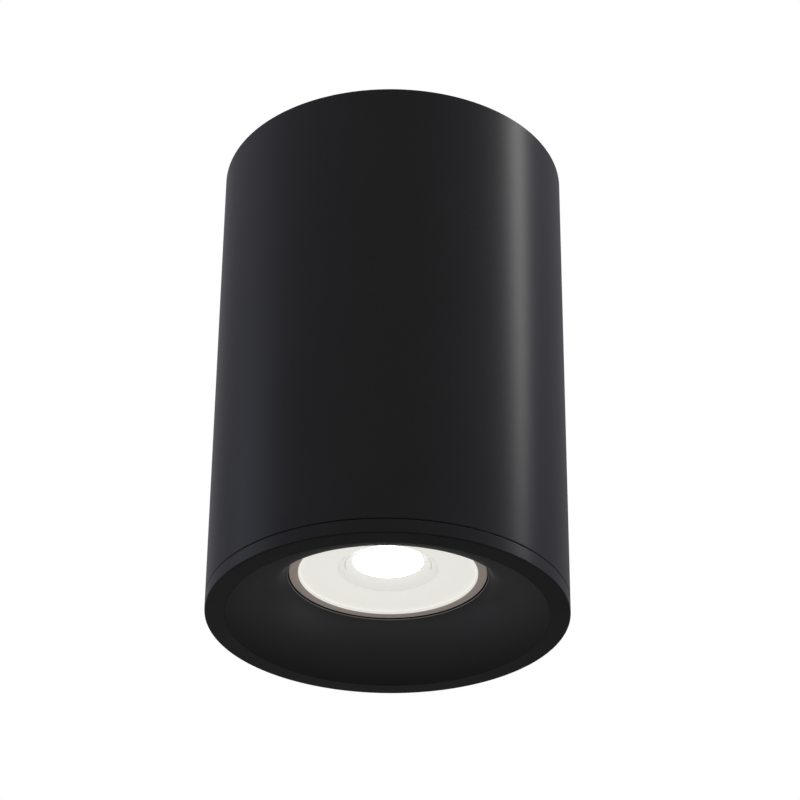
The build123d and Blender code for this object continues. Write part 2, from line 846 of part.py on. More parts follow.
# Earth lug on the plate: an eye under its screw and a barrel that points at the block
lug_z = plate_top_z
lug_screw_z = lug_z + lug_thickness
lug_barrel_z = lug_z + wire_radius + lug_barrel_wall
earth_turn = Vector(pole_xs[1], 0, clamp_z)
lug_eye = Vector(earth_lug_x, earth_lug_y, lug_barrel_z)
lug_run = Vector(earth_turn.X - lug_eye.X, earth_turn.Y - lug_eye.Y, 0).normalized()
lug_mouth = lug_eye + lug_run * lug_barrel_offset
lug_foot = lug_mouth + lug_run * lug_thickness
lug_plane = Plane(lug_mouth, z_dir=lug_run)
with BuildPart() as earth_lug:
    with BuildSketch(Plane.XY.offset(lug_z)):
        with Locations((lug_eye.X, lug_eye.Y)):
            Circle(lug_radius)
        with BuildLine():
            Line((lug_eye.X, lug_eye.Y), (lug_foot.X, lug_foot.Y))
        trace(line_width=2 * (wire_radius + lug_barrel_wall))
        with Locations((lug_eye.X, lug_eye.Y)):
            Circle(screw_radius + screw_clearance, mode=Mode.SUBTRACT)
    extrude(amount=lug_thickness)
    with BuildSketch(lug_plane):
        Circle(wire_radius + lug_barrel_wall)
    extrude(amount=lug_barrel_length)
    with BuildSketch(lug_plane):
        Circle(wire_radius + screw_clearance)
    extrude(amount=lug_barrel_length, mode=Mode.SUBTRACT)
earth_lug.part.label = "earth_lug"
export_step(earth_lug.part, "parts/earth_lug.step")

earth_screw_length = lug_thickness + plate_thickness + screw_head_height
group("earth_screw", [screw_solid(lug_eye.X, lug_eye.Y, lug_screw_z, earth_screw_length)])


# Earth wire: from the middle pole over the plate and down to the lug
with BuildPart() as earth_wire:
    with BuildLine() as earth_route:
        FilletPolyline(
            (pole_xs[1], wire_start_y, clamp_z),
            earth_turn,
            lug_mouth + lug_run * (lug_barrel_length + wire_bend),
            lug_mouth + lug_run,
            radius=(earth_bend, wire_bend),
        )
    with BuildSketch(Plane(earth_route.line @ 0, z_dir=earth_route.line % 0)):
        Circle(wire_radius)
    sweep(path=earth_route.line)
earth_wire.part.label = "earth_wire"
export_step(earth_wire.part, "parts/earth_wire.step")


# Ceiling plate: a pressed dish with a downturned flange and an embossed cable hole
flange_inner = ceiling_flange_outer - ceiling_plate_thickness
web_z = -ceiling_plate_thickness
emboss_z = -emboss_depth
emboss_foot_radius = emboss_radius - emboss_slope
with BuildPart() as mounting_plate:
    with BuildSketch(Plane.XZ):
        with BuildLine():
            Polyline(
                (entry_radius, emboss_z),
                (emboss_foot_radius, emboss_z),
                (emboss_radius, 0),
                (ceiling_flange_outer, 0),
                (ceiling_flange_outer, -ceiling_flange_depth),
                (flange_inner, -ceiling_flange_depth),
                (flange_inner, web_z),
                (emboss_radius - ceiling_plate_thickness / 2, web_z),
                (emboss_foot_radius - ceiling_plate_thickness / 2, emboss_z + web_z),
                (entry_radius, emboss_z + web_z),
                close=True,
            )
        make_face()
    revolve(axis=Axis.Z)
    rim_edges = mounting_plate.edges().filter_by(GeomType.CIRCLE).group_by(Axis.Z)[-1]
    fillet(rim_edges.sort_by(SortBy.RADIUS)[-1], ceiling_flange_radius)
    with BuildSketch():
        with GridLocations(slot_spacing, 0, 2, 1):
            SlotOverall(slot_length, slot_width)
        with Locations((0, -base_earth_offset)):
            Circle(base_earth_radius + screw_clearance)
    extrude(amount=-ceiling_plate_thickness, mode=Mode.SUBTRACT)
mounting_plate.part.label = "mounting_plate"
export_step(mounting_plate.part, "parts/mounting_plate.step")


# Cable grommet: a bush with a flange on each side of the embossed hole and a short spout
grommet_neck_radius = entry_radius - screw_clearance
grommet_flange_radius = entry_radius + grommet_flange_width
upper_flange_z = emboss_z + seat_gap
lower_flange_z = emboss_z + web_z - seat_gap
spout_z = lower_flange_z - grommet_flange_height - grommet_spout_length
with BuildPart() as cable_grommet:
    with BuildSketch(Plane.XZ):
        with BuildLine():
            Polyline(
                (grommet_bore, upper_flange_z + grommet_flange_height),
                (grommet_flange_radius, upper_flange_z + grommet_flange_height),
                (grommet_flange_radius, upper_flange_z),
                (grommet_neck_radius, upper_flange_z),
                (grommet_neck_radius, lower_flange_z),
                (grommet_flange_radius, lower_flange_z),
                (grommet_flange_radius, lower_flange_z - grommet_flange_height),
                (grommet_neck_radius, lower_flange_z - grommet_flange_height),
                (grommet_spout_radius, spout_z),
                (grommet_bore, spout_z),
                close=True,
            )
        make_face()
    revolve(axis=Axis.Z)
cable_grommet.part.label = "cable_grommet"
export_step(cable_grommet.part, "parts/cable_grommet.step")


# Earth screw of the ceiling plate: a washer and a head below the web, the shank up through it
with BuildPart() as base_earth_screw:
    with BuildSketch(Plane.XY.offset(web_z)):
        with Locations((0, -base_earth_offset)):
            Circle(base_earth_washer_radius)
    extrude(amount=-base_earth_washer_height)
    with BuildSketch(Plane.XY.offset(web_z - base_earth_washer_height)):
        with Locations((0, -base_earth_offset)):
            Circle(base_earth_head_radius)
    extrude(amount=-base_earth_head_height)
    fillet(base_earth_screw.edges().group_by(Axis.Z)[0], base_earth_head_round)
    with BuildSketch(Plane.XY.offset(web_z)):
        with Locations((0, -base_earth_offset)):
            Circle(base_earth_radius)
    extrude(amount=ceiling_plate_thickness - seat_gap)
    head_z = web_z - base_earth_washer_height - base_earth_head_height
    with BuildSketch(Plane.XY.offset(head_z)):
        with Locations((0, -base_earth_offset)):
            Rectangle(2 * base_earth_head_radius, screw_slot_width)
            Rectangle(screw_slot_width, base_earth_head_radius)
    extrude(amount=screw_slot_depth, mode=Mode.SUBTRACT)
base_earth_screw.part.label = "base_earth_screw"
export_step(base_earth_screw.part, "parts/base_earth_screw.step")
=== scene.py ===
import json
from math import atan2, cos, hypot, pi, radians, remainder, sin, tan

import bmesh
import bpy
from mathutils import Matrix, Vector


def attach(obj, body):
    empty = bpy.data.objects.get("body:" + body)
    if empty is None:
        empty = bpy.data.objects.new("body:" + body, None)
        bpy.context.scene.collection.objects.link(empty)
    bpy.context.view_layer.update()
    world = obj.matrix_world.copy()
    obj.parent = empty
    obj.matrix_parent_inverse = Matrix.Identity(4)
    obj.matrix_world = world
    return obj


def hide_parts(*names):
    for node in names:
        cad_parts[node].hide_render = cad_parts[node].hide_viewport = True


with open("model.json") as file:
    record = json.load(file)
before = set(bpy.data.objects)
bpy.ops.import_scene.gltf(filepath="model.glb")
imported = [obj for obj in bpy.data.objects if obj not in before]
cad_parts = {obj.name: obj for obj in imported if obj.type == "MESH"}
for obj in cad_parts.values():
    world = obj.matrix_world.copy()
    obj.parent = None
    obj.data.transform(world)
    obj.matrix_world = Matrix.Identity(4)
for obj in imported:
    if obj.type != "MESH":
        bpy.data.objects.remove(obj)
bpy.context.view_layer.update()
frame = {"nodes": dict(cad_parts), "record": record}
print("stage: frame loaded")

mm = 0.001


# Camera, fitted to the rim, seam and top edges of the 800 x 800 photograph
cameraView = {
    "place": (0.00113, -0.5921, -0.41843), "yaw": 0.00242, "pitch": 0.53563, "roll": 0.00998,
    "focalPixels": 2640.3, "framePixels": 800.0, "sensorWidth": 36.0, "nearest": 0.01,
}


def setCamera():
    yaw, pitch, roll = cameraView["yaw"], cameraView["pitch"], cameraView["roll"]
    forward = Vector((sin(yaw) * cos(pitch), cos(yaw) * cos(pitch), sin(pitch)))
    level = Vector((cos(yaw), -sin(yaw), 0.0))
    upward = level.cross(forward)
    right = cos(roll) * level + sin(roll) * upward
    top = cos(roll) * upward - sin(roll) * level
    data = bpy.data.cameras.new("photoCamera")
    data.sensor_width = cameraView["sensorWidth"]
    data.lens = cameraView["focalPixels"] / cameraView["framePixels"] * cameraView["sensorWidth"]
    data.clip_start = cameraView["nearest"]
    camera = bpy.data.objects.new("photoCamera", data)
    bpy.context.collection.objects.link(camera)
    turn = Matrix((right, top, -forward)).transposed()
    camera.matrix_world = Matrix.Translation(cameraView["place"]) @ turn.to_4x4()
    bpy.context.scene.camera = camera


setCamera()


# A method that puts a signal through a Math node; a reflected one takes it as second value
def mathMethod(operation, reflected=False):
    def method(signal, other=None):
        values = [signal] if other is None else [signal, other]
        if reflected:
            values.reverse()
        settings = {"operation": operation}
        return signal.graph.add("ShaderNodeMath", settings, dict(enumerate(values)))

    return method


# Node trees as Python expressions: a Signal is one socket, and arithmetic on it adds Math nodes
class Signal:
    def __init__(self, graph, socket):
        self.graph = graph
        self.socket = socket

    __add__, __radd__ = mathMethod("ADD"), mathMethod("ADD", reflected=True)
    __sub__, __rsub__ = mathMethod("SUBTRACT"), mathMethod("SUBTRACT", reflected=True)
    __mul__, __rmul__ = mathMethod("MULTIPLY"), mathMethod("MULTIPLY", reflected=True)
    __truediv__, __mod__ = mathMethod("DIVIDE"), mathMethod("MODULO")
    size, whole = mathMethod("ABSOLUTE"), mathMethod("FLOOR")
    sine, cosine = mathMethod("SINE"), mathMethod("COSINE")


class Graph:
    def __init__(self, tree):
        self.tree = tree
        self.tree.nodes.clear()

    # One node: its settings first, then the values or links of its sockets; gives one output
    def add(self, kind, settings=None, sockets=None, output=0):
        node = self.tree.nodes.new(kind)
        for key, value in (settings or {}).items():
            setattr(node, key, value)
        for key, value in (sockets or {}).items():
            self.plug(node.inputs[key], value)
        return Signal(self, node.outputs[output])

    def plug(self, socket, value):
        if isinstance(value, Signal):
            self.tree.links.new(value.socket, socket)
        else:
            socket.default_value = value

    # A value that climbs from 0 to 1 as the signal goes from low to high
    def climb(self, signal, low, high):
        settings = {"clamp": True}
        sockets = {"Value": signal, "From Min": low, "From Max": high}
        return self.add("ShaderNodeMapRange", settings, sockets)

    def blendColour(self, factor, first, second):
        settings = {"data_type": "RGBA"}
        sockets = {0: factor, 6: first, 7: second}
        return self.add("ShaderNodeMix", settings, sockets, output=2)


class Finish(Graph):
    def __init__(self, name):
        self.material = bpy.data.materials.new(name)
        self.material.use_nodes = True
        super().__init__(self.material.node_tree)

    def place(self):
        return self.add("ShaderNodeTexCoord", output="Object")

    def noise(self, scale, detail=2.0, roughness=0.5, stretch=None):
        where = self.place()
        if stretch:
            where = self.add("ShaderNodeMapping", sockets={"Vector": where, "Scale": stretch})
        sockets = {"Vector": where, "Scale": scale, "Detail": detail, "Roughness": roughness}
        return self.add("ShaderNodeTexNoise", sockets=sockets)

    # Distance from the Z axis
    def distance(self):
        flat = self.add("ShaderNodeMapping", sockets={"Vector": self.place(), "Scale": (1, 1, 0)})
        settings = {"operation": "LENGTH"}
        return self.add("ShaderNodeVectorMath", settings, {0: flat}, output="Value")

    # The Y coordinate
    def depth(self):
        return self.add("ShaderNodeSeparateXYZ", sockets={"Vector": self.place()}, output="Y")

    # 1 on a circle about the Z axis, fading to 0 on both sides of its line
    def circle(self, radius, middle, width, core):
        offset = (radius - middle * mm).size()
        return self.climb(offset, width * mm, core * mm)

    def bump(self, height, strength, distance):
        sockets = {"Height": height, "Strength": strength, "Distance": distance}
        return self.add("ShaderNodeBump", sockets=sockets)

    def surface(self, sockets):
        shader = self.add("ShaderNodeBsdfPrincipled", sockets=sockets)
        ending = self.tree.nodes.new("ShaderNodeOutputMaterial")
        self.plug(ending.inputs["Surface"], shader)
        return self.material

    # A surface whose gloss and relief follow a grain
    def grained(self, look, tone, grain, matt=0.0, others=None):
        sockets = {
            "Base Color": tone,
            "Roughness": look["roughness"] + matt + (grain - 0.5) * look["roughnessSpread"],
            "Normal": self.bump(grain, look["bumpStrength"], look["bumpDepth"]),
        }
        return self.surface(dict(sockets, **(others or {})))


def colour(red, green, blue):
    return (red, green, blue, 1.0)


# Powder coat: fine round grain, a little uneven in gloss
powderLook = {
    "grainScale": 2600.0, "grainShare": 0.7, "cloudScale": 60.0, "toneLow": 0.3, "toneHigh": 0.7,
    "dark": colour(0.0068, 0.0061, 0.0063), "light": colour(0.0098, 0.0089, 0.0092),
    "roughness": 0.31, "roughnessSpread": 0.07, "bumpStrength": 0.22, "bumpDepth": 0.00003,
    "specular": 0.114, "zones": [],
}

# Matt black coat of the horn: painted shade darkens it towards its mouth, a painted highlight
# lightens the bead at its hole
hornLook = dict(
    powderLook, grainScale=3800.0, roughness=0.56, bumpStrength=0.10, specular=0.50,
    dark=colour(0.0102, 0.0095, 0.0092), light=colour(0.0131, 0.0122, 0.0118),
    zones=[
        # painted shade: a darker tone towards the horn's mouth
        (34.0, 40.0, colour(0.0052, 0.0048, 0.0047)),
        # painted highlight: a light tone on the bead at the lamp hole
        (25.34, 25.29, colour(0.20, 0.20, 0.20)),
    ],
)


# Each zone blends the paint to another tone between two radii
def powderCoat(name, look):
    finish = Finish(name)
    grain = finish.noise(look["grainScale"], detail=3.0)
    cloud = finish.noise(look["cloudScale"], detail=1.0)
    mix = grain * look["grainShare"] + cloud * (1.0 - look["grainShare"])
    tone = finish.climb(mix, look["toneLow"], look["toneHigh"])
    paint = finish.blendColour(tone, look["dark"], look["light"])
    for start, end, zoneTone in look["zones"]:
        zone = finish.climb(finish.distance(), start * mm, end * mm)
        paint = finish.blendColour(zone, paint, zoneTone)
    others = {"Specular IOR Level": look["specular"]}
    return finish.grained(look, paint, grain, others=others)


# Plain mouldings, ceramics and sheaths: a base tone, a shade tone and a fine grain
def plainLook(base, shade, grainScale, roughness, bumpStrength, bumpDepth=0.00002):
    return {
        "base": colour(*base), "shade": colour(*shade), "grainScale": grainScale,
        "roughness": roughness, "roughnessSpread": 0.1,
        "bumpStrength": bumpStrength, "bumpDepth": bumpDepth,
    }


plainLooks = {
    "bezel_grey": plainLook((0.44, 0.378, 0.335), (0.38, 0.323, 0.285), 1800.0, 0.42, 0.08),
    "ceramic": plainLook((0.78, 0.75, 0.70), (0.70, 0.67, 0.61), 900.0, 0.62, 0.25, 0.00003),
    "block_plastic": plainLook((0.72, 0.72, 0.69), (0.64, 0.64, 0.61), 700.0, 0.48, 0.12, 0.00003),
    "grommet_rubber": plainLook((0.024,) * 3, (0.016,) * 3, 1400.0, 0.62, 0.25, 0.00003),
    "wire_brown": plainLook((0.16, 0.060, 0.025), (0.12, 0.045, 0.018), 900.0, 0.42, 0.08),
    "wire_blue": plainLook((0.025, 0.115, 0.44), (0.018, 0.09, 0.36), 900.0, 0.42, 0.08),
    "board_white": plainLook((0.84, 0.84, 0.82), (0.78, 0.78, 0.76), 600.0, 0.35, 0.05),
    "chip_yellow": plainLook((0.92, 0.70, 0.16), (0.84, 0.60, 0.12), 2500.0, 0.50, 0.2),
    "board_green": plainLook((0.045, 0.24, 0.09), (0.035, 0.19, 0.07), 800.0, 0.38, 0.1),
    "coil_yellow": plainLook((0.74, 0.58, 0.10), (0.66, 0.50, 0.08), 500.0, 0.40, 0.15, 0.00004),
    "capacitor_black": plainLook((0.028, 0.028, 0.045), (0.020, 0.020, 0.034), 900.0, 0.33, 0.08),
    "base_white": plainLook((0.80, 0.80, 0.78), (0.74, 0.74, 0.72), 900.0, 0.40, 0.10),
}


def satinPlastic(name, look):
    finish = Finish(name)
    grain = finish.noise(look["grainScale"], detail=3.0)
    tone = finish.blendColour(grain, look["shade"], look["base"])
    return finish.grained(look, tone, grain)


# Metals: fine rolled or turned grain with spots of wear
metalWear = {
    "patchScale": 90.0, "grainShare": 0.6, "low": 0.42, "high": 0.62, "metallic": 0.95,
    "roughnessSpread": 0.10, "bumpStrength": 0.12, "bumpDepth": 0.00002,
}


def metalLook(base, worn, roughness, grainScale, stretch=(1.0, 1.0, 1.0)):
    look = {"base": colour(*base), "worn": colour(*worn), "roughness": roughness}
    return dict(look, grainScale=grainScale, stretch=stretch)


metalLooks = {
    "zinc_steel": metalLook(
        (0.60, 0.605, 0.60), (0.48, 0.485, 0.485), 0.34, 500.0, (1.0, 14.0, 1.0)),
    "screw_steel": metalLook((0.46, 0.46, 0.45), (0.30, 0.30, 0.30), 0.30, 1800.0),
    "black_screw": metalLook((0.020, 0.020, 0.022), (0.045, 0.045, 0.045), 0.42, 2000.0),
    "brass": metalLook((0.62, 0.44, 0.17), (0.45, 0.30, 0.12), 0.28, 1500.0, (1.0, 8.0, 1.0)),
    "nickel_pin": metalLook((0.60, 0.57, 0.50), (0.42, 0.39, 0.34), 0.24, 1500.0, (1.0, 1.0, 6.0)),
    "spring_copper": metalLook(
        (0.70, 0.43, 0.28), (0.50, 0.28, 0.17), 0.30, 1200.0, (1.0, 1.0, 6.0)),
    "mill_aluminium": metalLook(
        (0.66, 0.66, 0.67), (0.52, 0.52, 0.53), 0.34, 700.0, (1.0, 1.0, 0.08)),
    "shell_grey": metalLook((0.44, 0.44, 0.44), (0.36, 0.36, 0.36), 0.45, 1600.0),
}


def bareMetal(name, look):
    finish = Finish(name)
    wear = metalWear
    grain = finish.noise(look["grainScale"], detail=4.0, stretch=look["stretch"])
    patch = finish.noise(wear["patchScale"], detail=3.0)
    mix = grain * wear["grainShare"] + patch * (1.0 - wear["grainShare"])
    worn = finish.climb(mix, wear["low"], wear["high"])
    sockets = {
        "Base Color": finish.blendColour(worn, look["worn"], look["base"]),
        "Metallic": wear["metallic"],
        "Roughness": look["roughness"] + (worn - 0.5) * wear["roughnessSpread"],
        "Normal": finish.bump(grain, wear["bumpStrength"], wear["bumpDepth"]),
    }
    return finish.surface(sockets)


# Milky lens, lit from behind; a painted highlight on its rim, painted shade on its mouth wall and
# in two dark arcs at its sides
lensLook = {
    # the wall base tone is painted shade on the mouth wall and outer lip
    "base": colour(0.66, 0.65, 0.62), "wallShadeBase": colour(0.36, 0.356, 0.347),
    # the rim glow is a painted highlight on the rim bead
    "glow": colour(0.42, 0.415, 0.387), "rimHighlightGlow": colour(0.50, 0.49, 0.455),
    # the first colour here paints shade as two dark arcs beside the mouth
    "shadeArcGlow": colour(0.10, 0.10, 0.09), "glowStrength": 1.0,
    "roughness": 0.28, "wallRoughness": 0.45, "roughnessSpread": 0.06,
    "grainScale": 700.0, "bumpStrength": 0.03, "bumpDepth": 0.00002,
    "beadRadius": 22.18, "beadWidth": 0.20, "beadCore": 0.04,
    "lipStart": 22.28, "lipEnd": 22.33, "lipShare": 0.4, "mouthStart": 12.85, "mouthEnd": 12.3,
    # circle and sides of the two painted dark arcs of shade
    "shadeArcRadius": 10.85, "shadeArcWidth": 0.14, "shadeArcCore": 0.042,
    "shadeArcBack": (0.24, 0.12), "shadeArcFront": (-0.60, -0.30),
}


def milkyLens(name, look):
    finish = Finish(name)
    grain = finish.noise(look["grainScale"], detail=2.0)
    radius = finish.distance()
    # rim: where a painted highlight brightens the glow on the rim bead
    rim = finish.circle(radius, look["beadRadius"], look["beadWidth"], look["beadCore"])
    lip = finish.climb(radius, look["lipStart"] * mm, look["lipEnd"] * mm)
    mouth = finish.climb(radius, look["mouthStart"] * mm, look["mouthEnd"] * mm)
    # wall: painted shade, a darker tone on the mouth's wall and partly on the outer lip
    wall = mouth + lip * look["lipShare"]
    # painted shade: two dark arcs on a circle at the mouth, only at its left and right sides
    line = finish.circle(radius, look["shadeArcRadius"], look["shadeArcWidth"], look["shadeArcCore"])
    slant = finish.depth() / radius
    shadeArc = line * finish.climb(slant, *look["shadeArcBack"]) * finish.climb(slant, *look["shadeArcFront"])
    glow = finish.blendColour(rim, look["glow"], look["rimHighlightGlow"])
    tone = finish.blendColour(wall, look["base"], look["wallShadeBase"])
    others = {
        "Emission Color": finish.blendColour(shadeArc, glow, look["shadeArcGlow"]),
        "Emission Strength": look["glowStrength"],
    }
    return finish.grained(look, tone, grain, wall * look["wallRoughness"], others)


windowLook = {
    "base": colour(0.8, 0.8, 0.78), "glow": colour(1.0, 0.985, 0.95), "strength": 9.0,
    "hazeScale": 900.0, "roughness": 0.3, "roughnessSpread": 0.05,
}


def litWindow(name, look):
    finish = Finish(name)
    haze = finish.noise(look["hazeScale"], detail=1.0)
    sockets = {
        "Base Color": look["base"], "Emission Color": look["glow"],
        "Emission Strength": look["strength"],
        "Roughness": look["roughness"] + haze * look["roughnessSpread"],
    }
    return finish.surface(sockets)


# Earth sheath: green with one yellow stripe that winds round the wire
earthLook = {
    "green": colour(0.055, 0.26, 0.045), "yellow": colour(0.72, 0.60, 0.04),
    "stripeScale": 150.0, "stripeStart": 0.60, "stripeEnd": 0.66, "grainScale": 900.0,
    "roughness": 0.42, "roughnessSpread": 0.08, "bumpStrength": 0.08, "bumpDepth": 0.00002,
}


def earthSheath(name, look):
    finish = Finish(name)
    settings = {"wave_type": "BANDS", "bands_direction": "DIAGONAL"}
    sockets = {"Vector": finish.place(), "Scale": look["stripeScale"], "Distortion": 0.0}
    band = finish.add("ShaderNodeTexWave", settings, sockets, output="Fac")
    stripe = finish.climb(band, look["stripeStart"], look["stripeEnd"])
    grain = finish.noise(look["grainScale"])
    tone = finish.blendColour(stripe, look["green"], look["yellow"])
    return finish.grained(look, tone, grain)


# A slot or node such as board_white gives the name boardWhite
def camelName(label):
    first, *others = label.split("_")
    return first + "".join(word.capitalize() for word in others)


finishes = {
    "black_coat": powderCoat("blackCoat", powderLook),
    "black_horn": powderCoat("blackHorn", hornLook),
    "lens_white": milkyLens("lensWhite", lensLook),
    "lens_window": litWindow("lensWindow", windowLook),
    "wire_earth": earthSheath("wireEarth", earthLook),
}
for slotName, slotLook in metalLooks.items():
    finishes[slotName] = bareMetal(camelName(slotName), slotLook)
for slotName, slotLook in plainLooks.items():
    finishes[slotName] = satinPlastic(camelName(slotName), slotLook)


for part in frame["record"]["subparts"]:
    node = frame["nodes"][part["node"]]
    node.data.materials.clear()
    node.data.materials.append(finishes[part["material_slot"]])
print("stage: materials")


def vectors(corners):
    return [Vector(corner) for corner in corners]


# Outlines: corners (radius, height, rounding) in millimetres, each rounded into a short arc
def roundedOutline(corners, steps=5):
    points = []
    count = len(corners)
    for index in range(count):
        radius, height, rounding = corners[index]
        here = Vector((radius, height))
        if rounding == 0:
            points.append(here)
            continue
        before = Vector(corners[index - 1][:2]) - here
        after = Vector(corners[(index + 1) % count][:2]) - here
        halfAngle = before.angle(after) / 2
        reach = rounding / tan(halfAngle)
        middle = (before.normalized() + after.normalized()).normalized()
        centre = here + middle * rounding / sin(halfAngle)
        first = here + before.normalized() * reach - centre
        last = here + after.normalized() * reach - centre
        start = atan2(first.y, first.x)
        turn = remainder(atan2(last.y, last.x) - start, 2 * pi)
        for step in range(steps + 1):
            angle = start + turn * step / steps
            points.append(centre + rounding * Vector((cos(angle), sin(angle))))
    return points


# Points along a tangent arc from start to end, without its first point
def tangentArc(start, end, startAngle, steps):
    chord = Vector(end) - Vector(start)
    bend = remainder(atan2(chord.y, chord.x) - startAngle, 2 * pi)
    points = []
    for step in range(1, steps + 1):
        angle = startAngle + bend * step / steps
        length = chord.length * sin(bend * step / steps) / sin(bend)
        points.append(Vector(start) + length * Vector((cos(angle), sin(angle))))
    return points, startAngle + 2 * bend


# Makes a piece of a bmesh, which it frees
def newPiece(name, shape):
    bmesh.ops.recalc_face_normals(shape, faces=shape.faces)
    mesh = bpy.data.meshes.new(name)
    shape.to_mesh(mesh)
    shape.free()
    piece = bpy.data.objects.new(name, mesh)
    bpy.context.collection.objects.link(piece)
    return piece


axisReach = 1e-6


# Turns a closed outline round the Z axis; points on the axis become one pole
def lathe(name, outline, segments=192):
    shape = bmesh.new()
    rings = []
    for point in outline:
        if point.x < axisReach:
            rings.append([shape.verts.new((0, 0, point.y * mm))])
            continue
        ring = []
        for index in range(segments):
            angle = 2 * pi * index / segments
            across = point.x * mm
            ring.append(shape.verts.new((across * cos(angle), across * sin(angle), point.y * mm)))
        rings.append(ring)
    for index, ring in enumerate(rings):
        other = rings[(index + 1) % len(rings)]
        if len(ring) == 1 and len(other) == 1:
            continue
        for step in range(segments):
            nextStep = (step + 1) % segments
            corners = [ring[step % len(ring)], ring[nextStep % len(ring)]]
            corners += [other[nextStep % len(other)], other[step % len(other)]]
            face = shape.faces.new(list(dict.fromkeys(corners)))
            face.smooth = True
    return newPiece(name, shape)


# Bakes a piece's modifiers into its mesh
def settle(piece):
    graph = bpy.context.evaluated_depsgraph_get()
    graph.update()
    mesh = bpy.data.meshes.new_from_object(piece.evaluated_get(graph))
    piece.modifiers.clear()
    piece.data = mesh


# A plain rod along Z that only serves to cut; with six segments it is a hexagon
def rod(name, radius, low, high, segments=32):
    outline = vectors([(0, low), (radius, low), (radius, high), (0, high)])
    return lathe(name, outline, segments)


# Cuts one piece out of another and throws the cutter away
def carve(piece, cutter):
    cut = piece.modifiers.new("cut", "BOOLEAN")
    cut.operation = "DIFFERENCE"
    cut.solver = "EXACT"
    cut.object = cutter
    settle(piece)
    bpy.data.objects.remove(cutter)


# Flat faces keep flat shading beside their rounded edges
def evenShading(piece, sharpAngle):
    mesh = piece.data
    mesh.shade_smooth()
    mesh.set_sharp_from_angle(angle=radians(sharpAngle))
    weighting = piece.modifiers.new("evenShading", "WEIGHTED_NORMAL")
    weighting.keep_sharp = True
    settle(piece)


def finishPiece(piece, body, slot, node, sharpAngle=35.0):
    evenShading(piece, sharpAngle)
    piece.data.materials.clear()
    piece.data.materials.append(finishes[slot])
    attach(piece, body)
    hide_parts(node)


# The outline of a piece whose corners name their radius and height in its dictionary
def profile(look):
    rows = []
    for radius, height, rounding in look["corners"]:
        rows.append((look.get(radius, radius), look.get(height, height), rounding))
    return roundedOutline(rows)


def rotate(piece, axis, angle=pi / 2):
    piece.data.transform(Matrix.Rotation(angle, 4, axis))


def shift(piece, x=0.0, y=0.0, z=0.0):
    piece.data.transform(Matrix.Translation((x * mm, y * mm, z * mm)))


# A piece that is one turned outline; its centre, if it has one, moves it along Y
def turnedPiece(node, look, segments, body, slot, sharpAngle=35.0):
    piece = lathe(camelName(node), profile(look), segments)
    shift(piece, y=look.get("centre", 0.0))
    finishPiece(piece, body, slot, node, sharpAngle)


# A Geometry Nodes tree with named inputs, which ends in Realize Instances and Set Material
class Layout(Graph):
    def __init__(self, name, **inputs):
        super().__init__(bpy.data.node_groups.new(name, "GeometryNodeTree"))
        sockets = dict({"Geometry": ["piece"], "Material": ["finish"]}, **inputs)
        for kind, labels in sockets.items():
            for label in labels:
                self.declare(label, "INPUT", kind)
        self.declare("result", "OUTPUT", "Geometry")
        self.entry = self.tree.nodes.new("NodeGroupInput")

    def declare(self, label, side, kind):
        kind = "NodeSocket" + kind
        self.tree.interface.new_socket(label, in_out=side, socket_type=kind)

    def value(self, label):
        return Signal(self, self.entry.outputs[label])

    def values(self, *labels):
        return [self.value(label) for label in labels]

    def index(self):
        return self.add("GeometryNodeInputIndex")

    def triple(self, x=0.0, y=0.0, z=0.0):
        return self.add("ShaderNodeCombineXYZ", sockets={"X": x, "Y": y, "Z": z})

    def moved(self, place, offset):
        return self.add("ShaderNodeVectorMath", {"operation": "ADD"}, {0: place, 1: offset})

    # Copies of a shape on counted points, each turned about the Z axis
    def copies(self, shape, count, place, angle):
        points = self.add("GeometryNodePoints", sockets={"Count": count, "Position": place})
        sockets = {"Points": points, "Instance": shape, "Rotation": self.triple(z=angle)}
        return self.add("GeometryNodeInstanceOnPoints", sockets=sockets)

    def chance(self, spread, seed):
        sockets = {2: 0.0 - spread, 3: spread, "Seed": seed}
        return self.add("FunctionNodeRandomValue", {"data_type": "FLOAT"}, sockets, output=1)

    def ends(self, geometry):
        whole = self.add("GeometryNodeRealizeInstances", sockets={"Geometry": geometry})
        sockets = {"Geometry": whole, "Material": self.value("finish")}
        painted = self.add("GeometryNodeSetMaterial", sockets=sockets)
        ending = self.tree.nodes.new("NodeGroupOutput")
        self.plug(ending.inputs["result"], painted)
        return self.tree


# Copies in a ring about the Z axis, each turned outwards, and by chance up to chanceTurn
def ringLayout():
    floats = ["radius", "startAngle", "height", "chanceTurn"]
    tree = Layout("ringLayout", Int=["count", "seed"], Float=floats)
    piece, count, radius, height = tree.values("piece", "count", "radius", "height")
    angle = tree.value("startAngle") + tree.index() / count * (2 * pi)
    place = tree.triple(angle.cosine() * radius, angle.sine() * radius, height)
    turn = angle + tree.chance(*tree.values("chanceTurn", "seed"))
    return tree.ends(tree.copies(piece, count, place, turn))


# Copies in columns and rows about a centre, each turned by chance up to chanceTurn
def gridLayout():
    floats = ["columnStep", "rowStep", "chanceTurn"]
    tree = Layout("gridLayout", Int=["columns", "rows", "seed"], Float=floats, Vector=["centre"])
    piece, columns, rows = tree.values("piece", "columns", "rows")
    column = tree.index() % columns
    row = (tree.index() / columns).whole()
    across = (column - (columns - 1) * 0.5) * tree.value("columnStep")
    along = (row - (rows - 1) * 0.5) * tree.value("rowStep")
    place = tree.moved(tree.triple(across, along), tree.value("centre"))
    turn = tree.chance(*tree.values("chanceTurn", "seed"))
    return tree.ends(tree.copies(piece, columns * rows, place, turn))


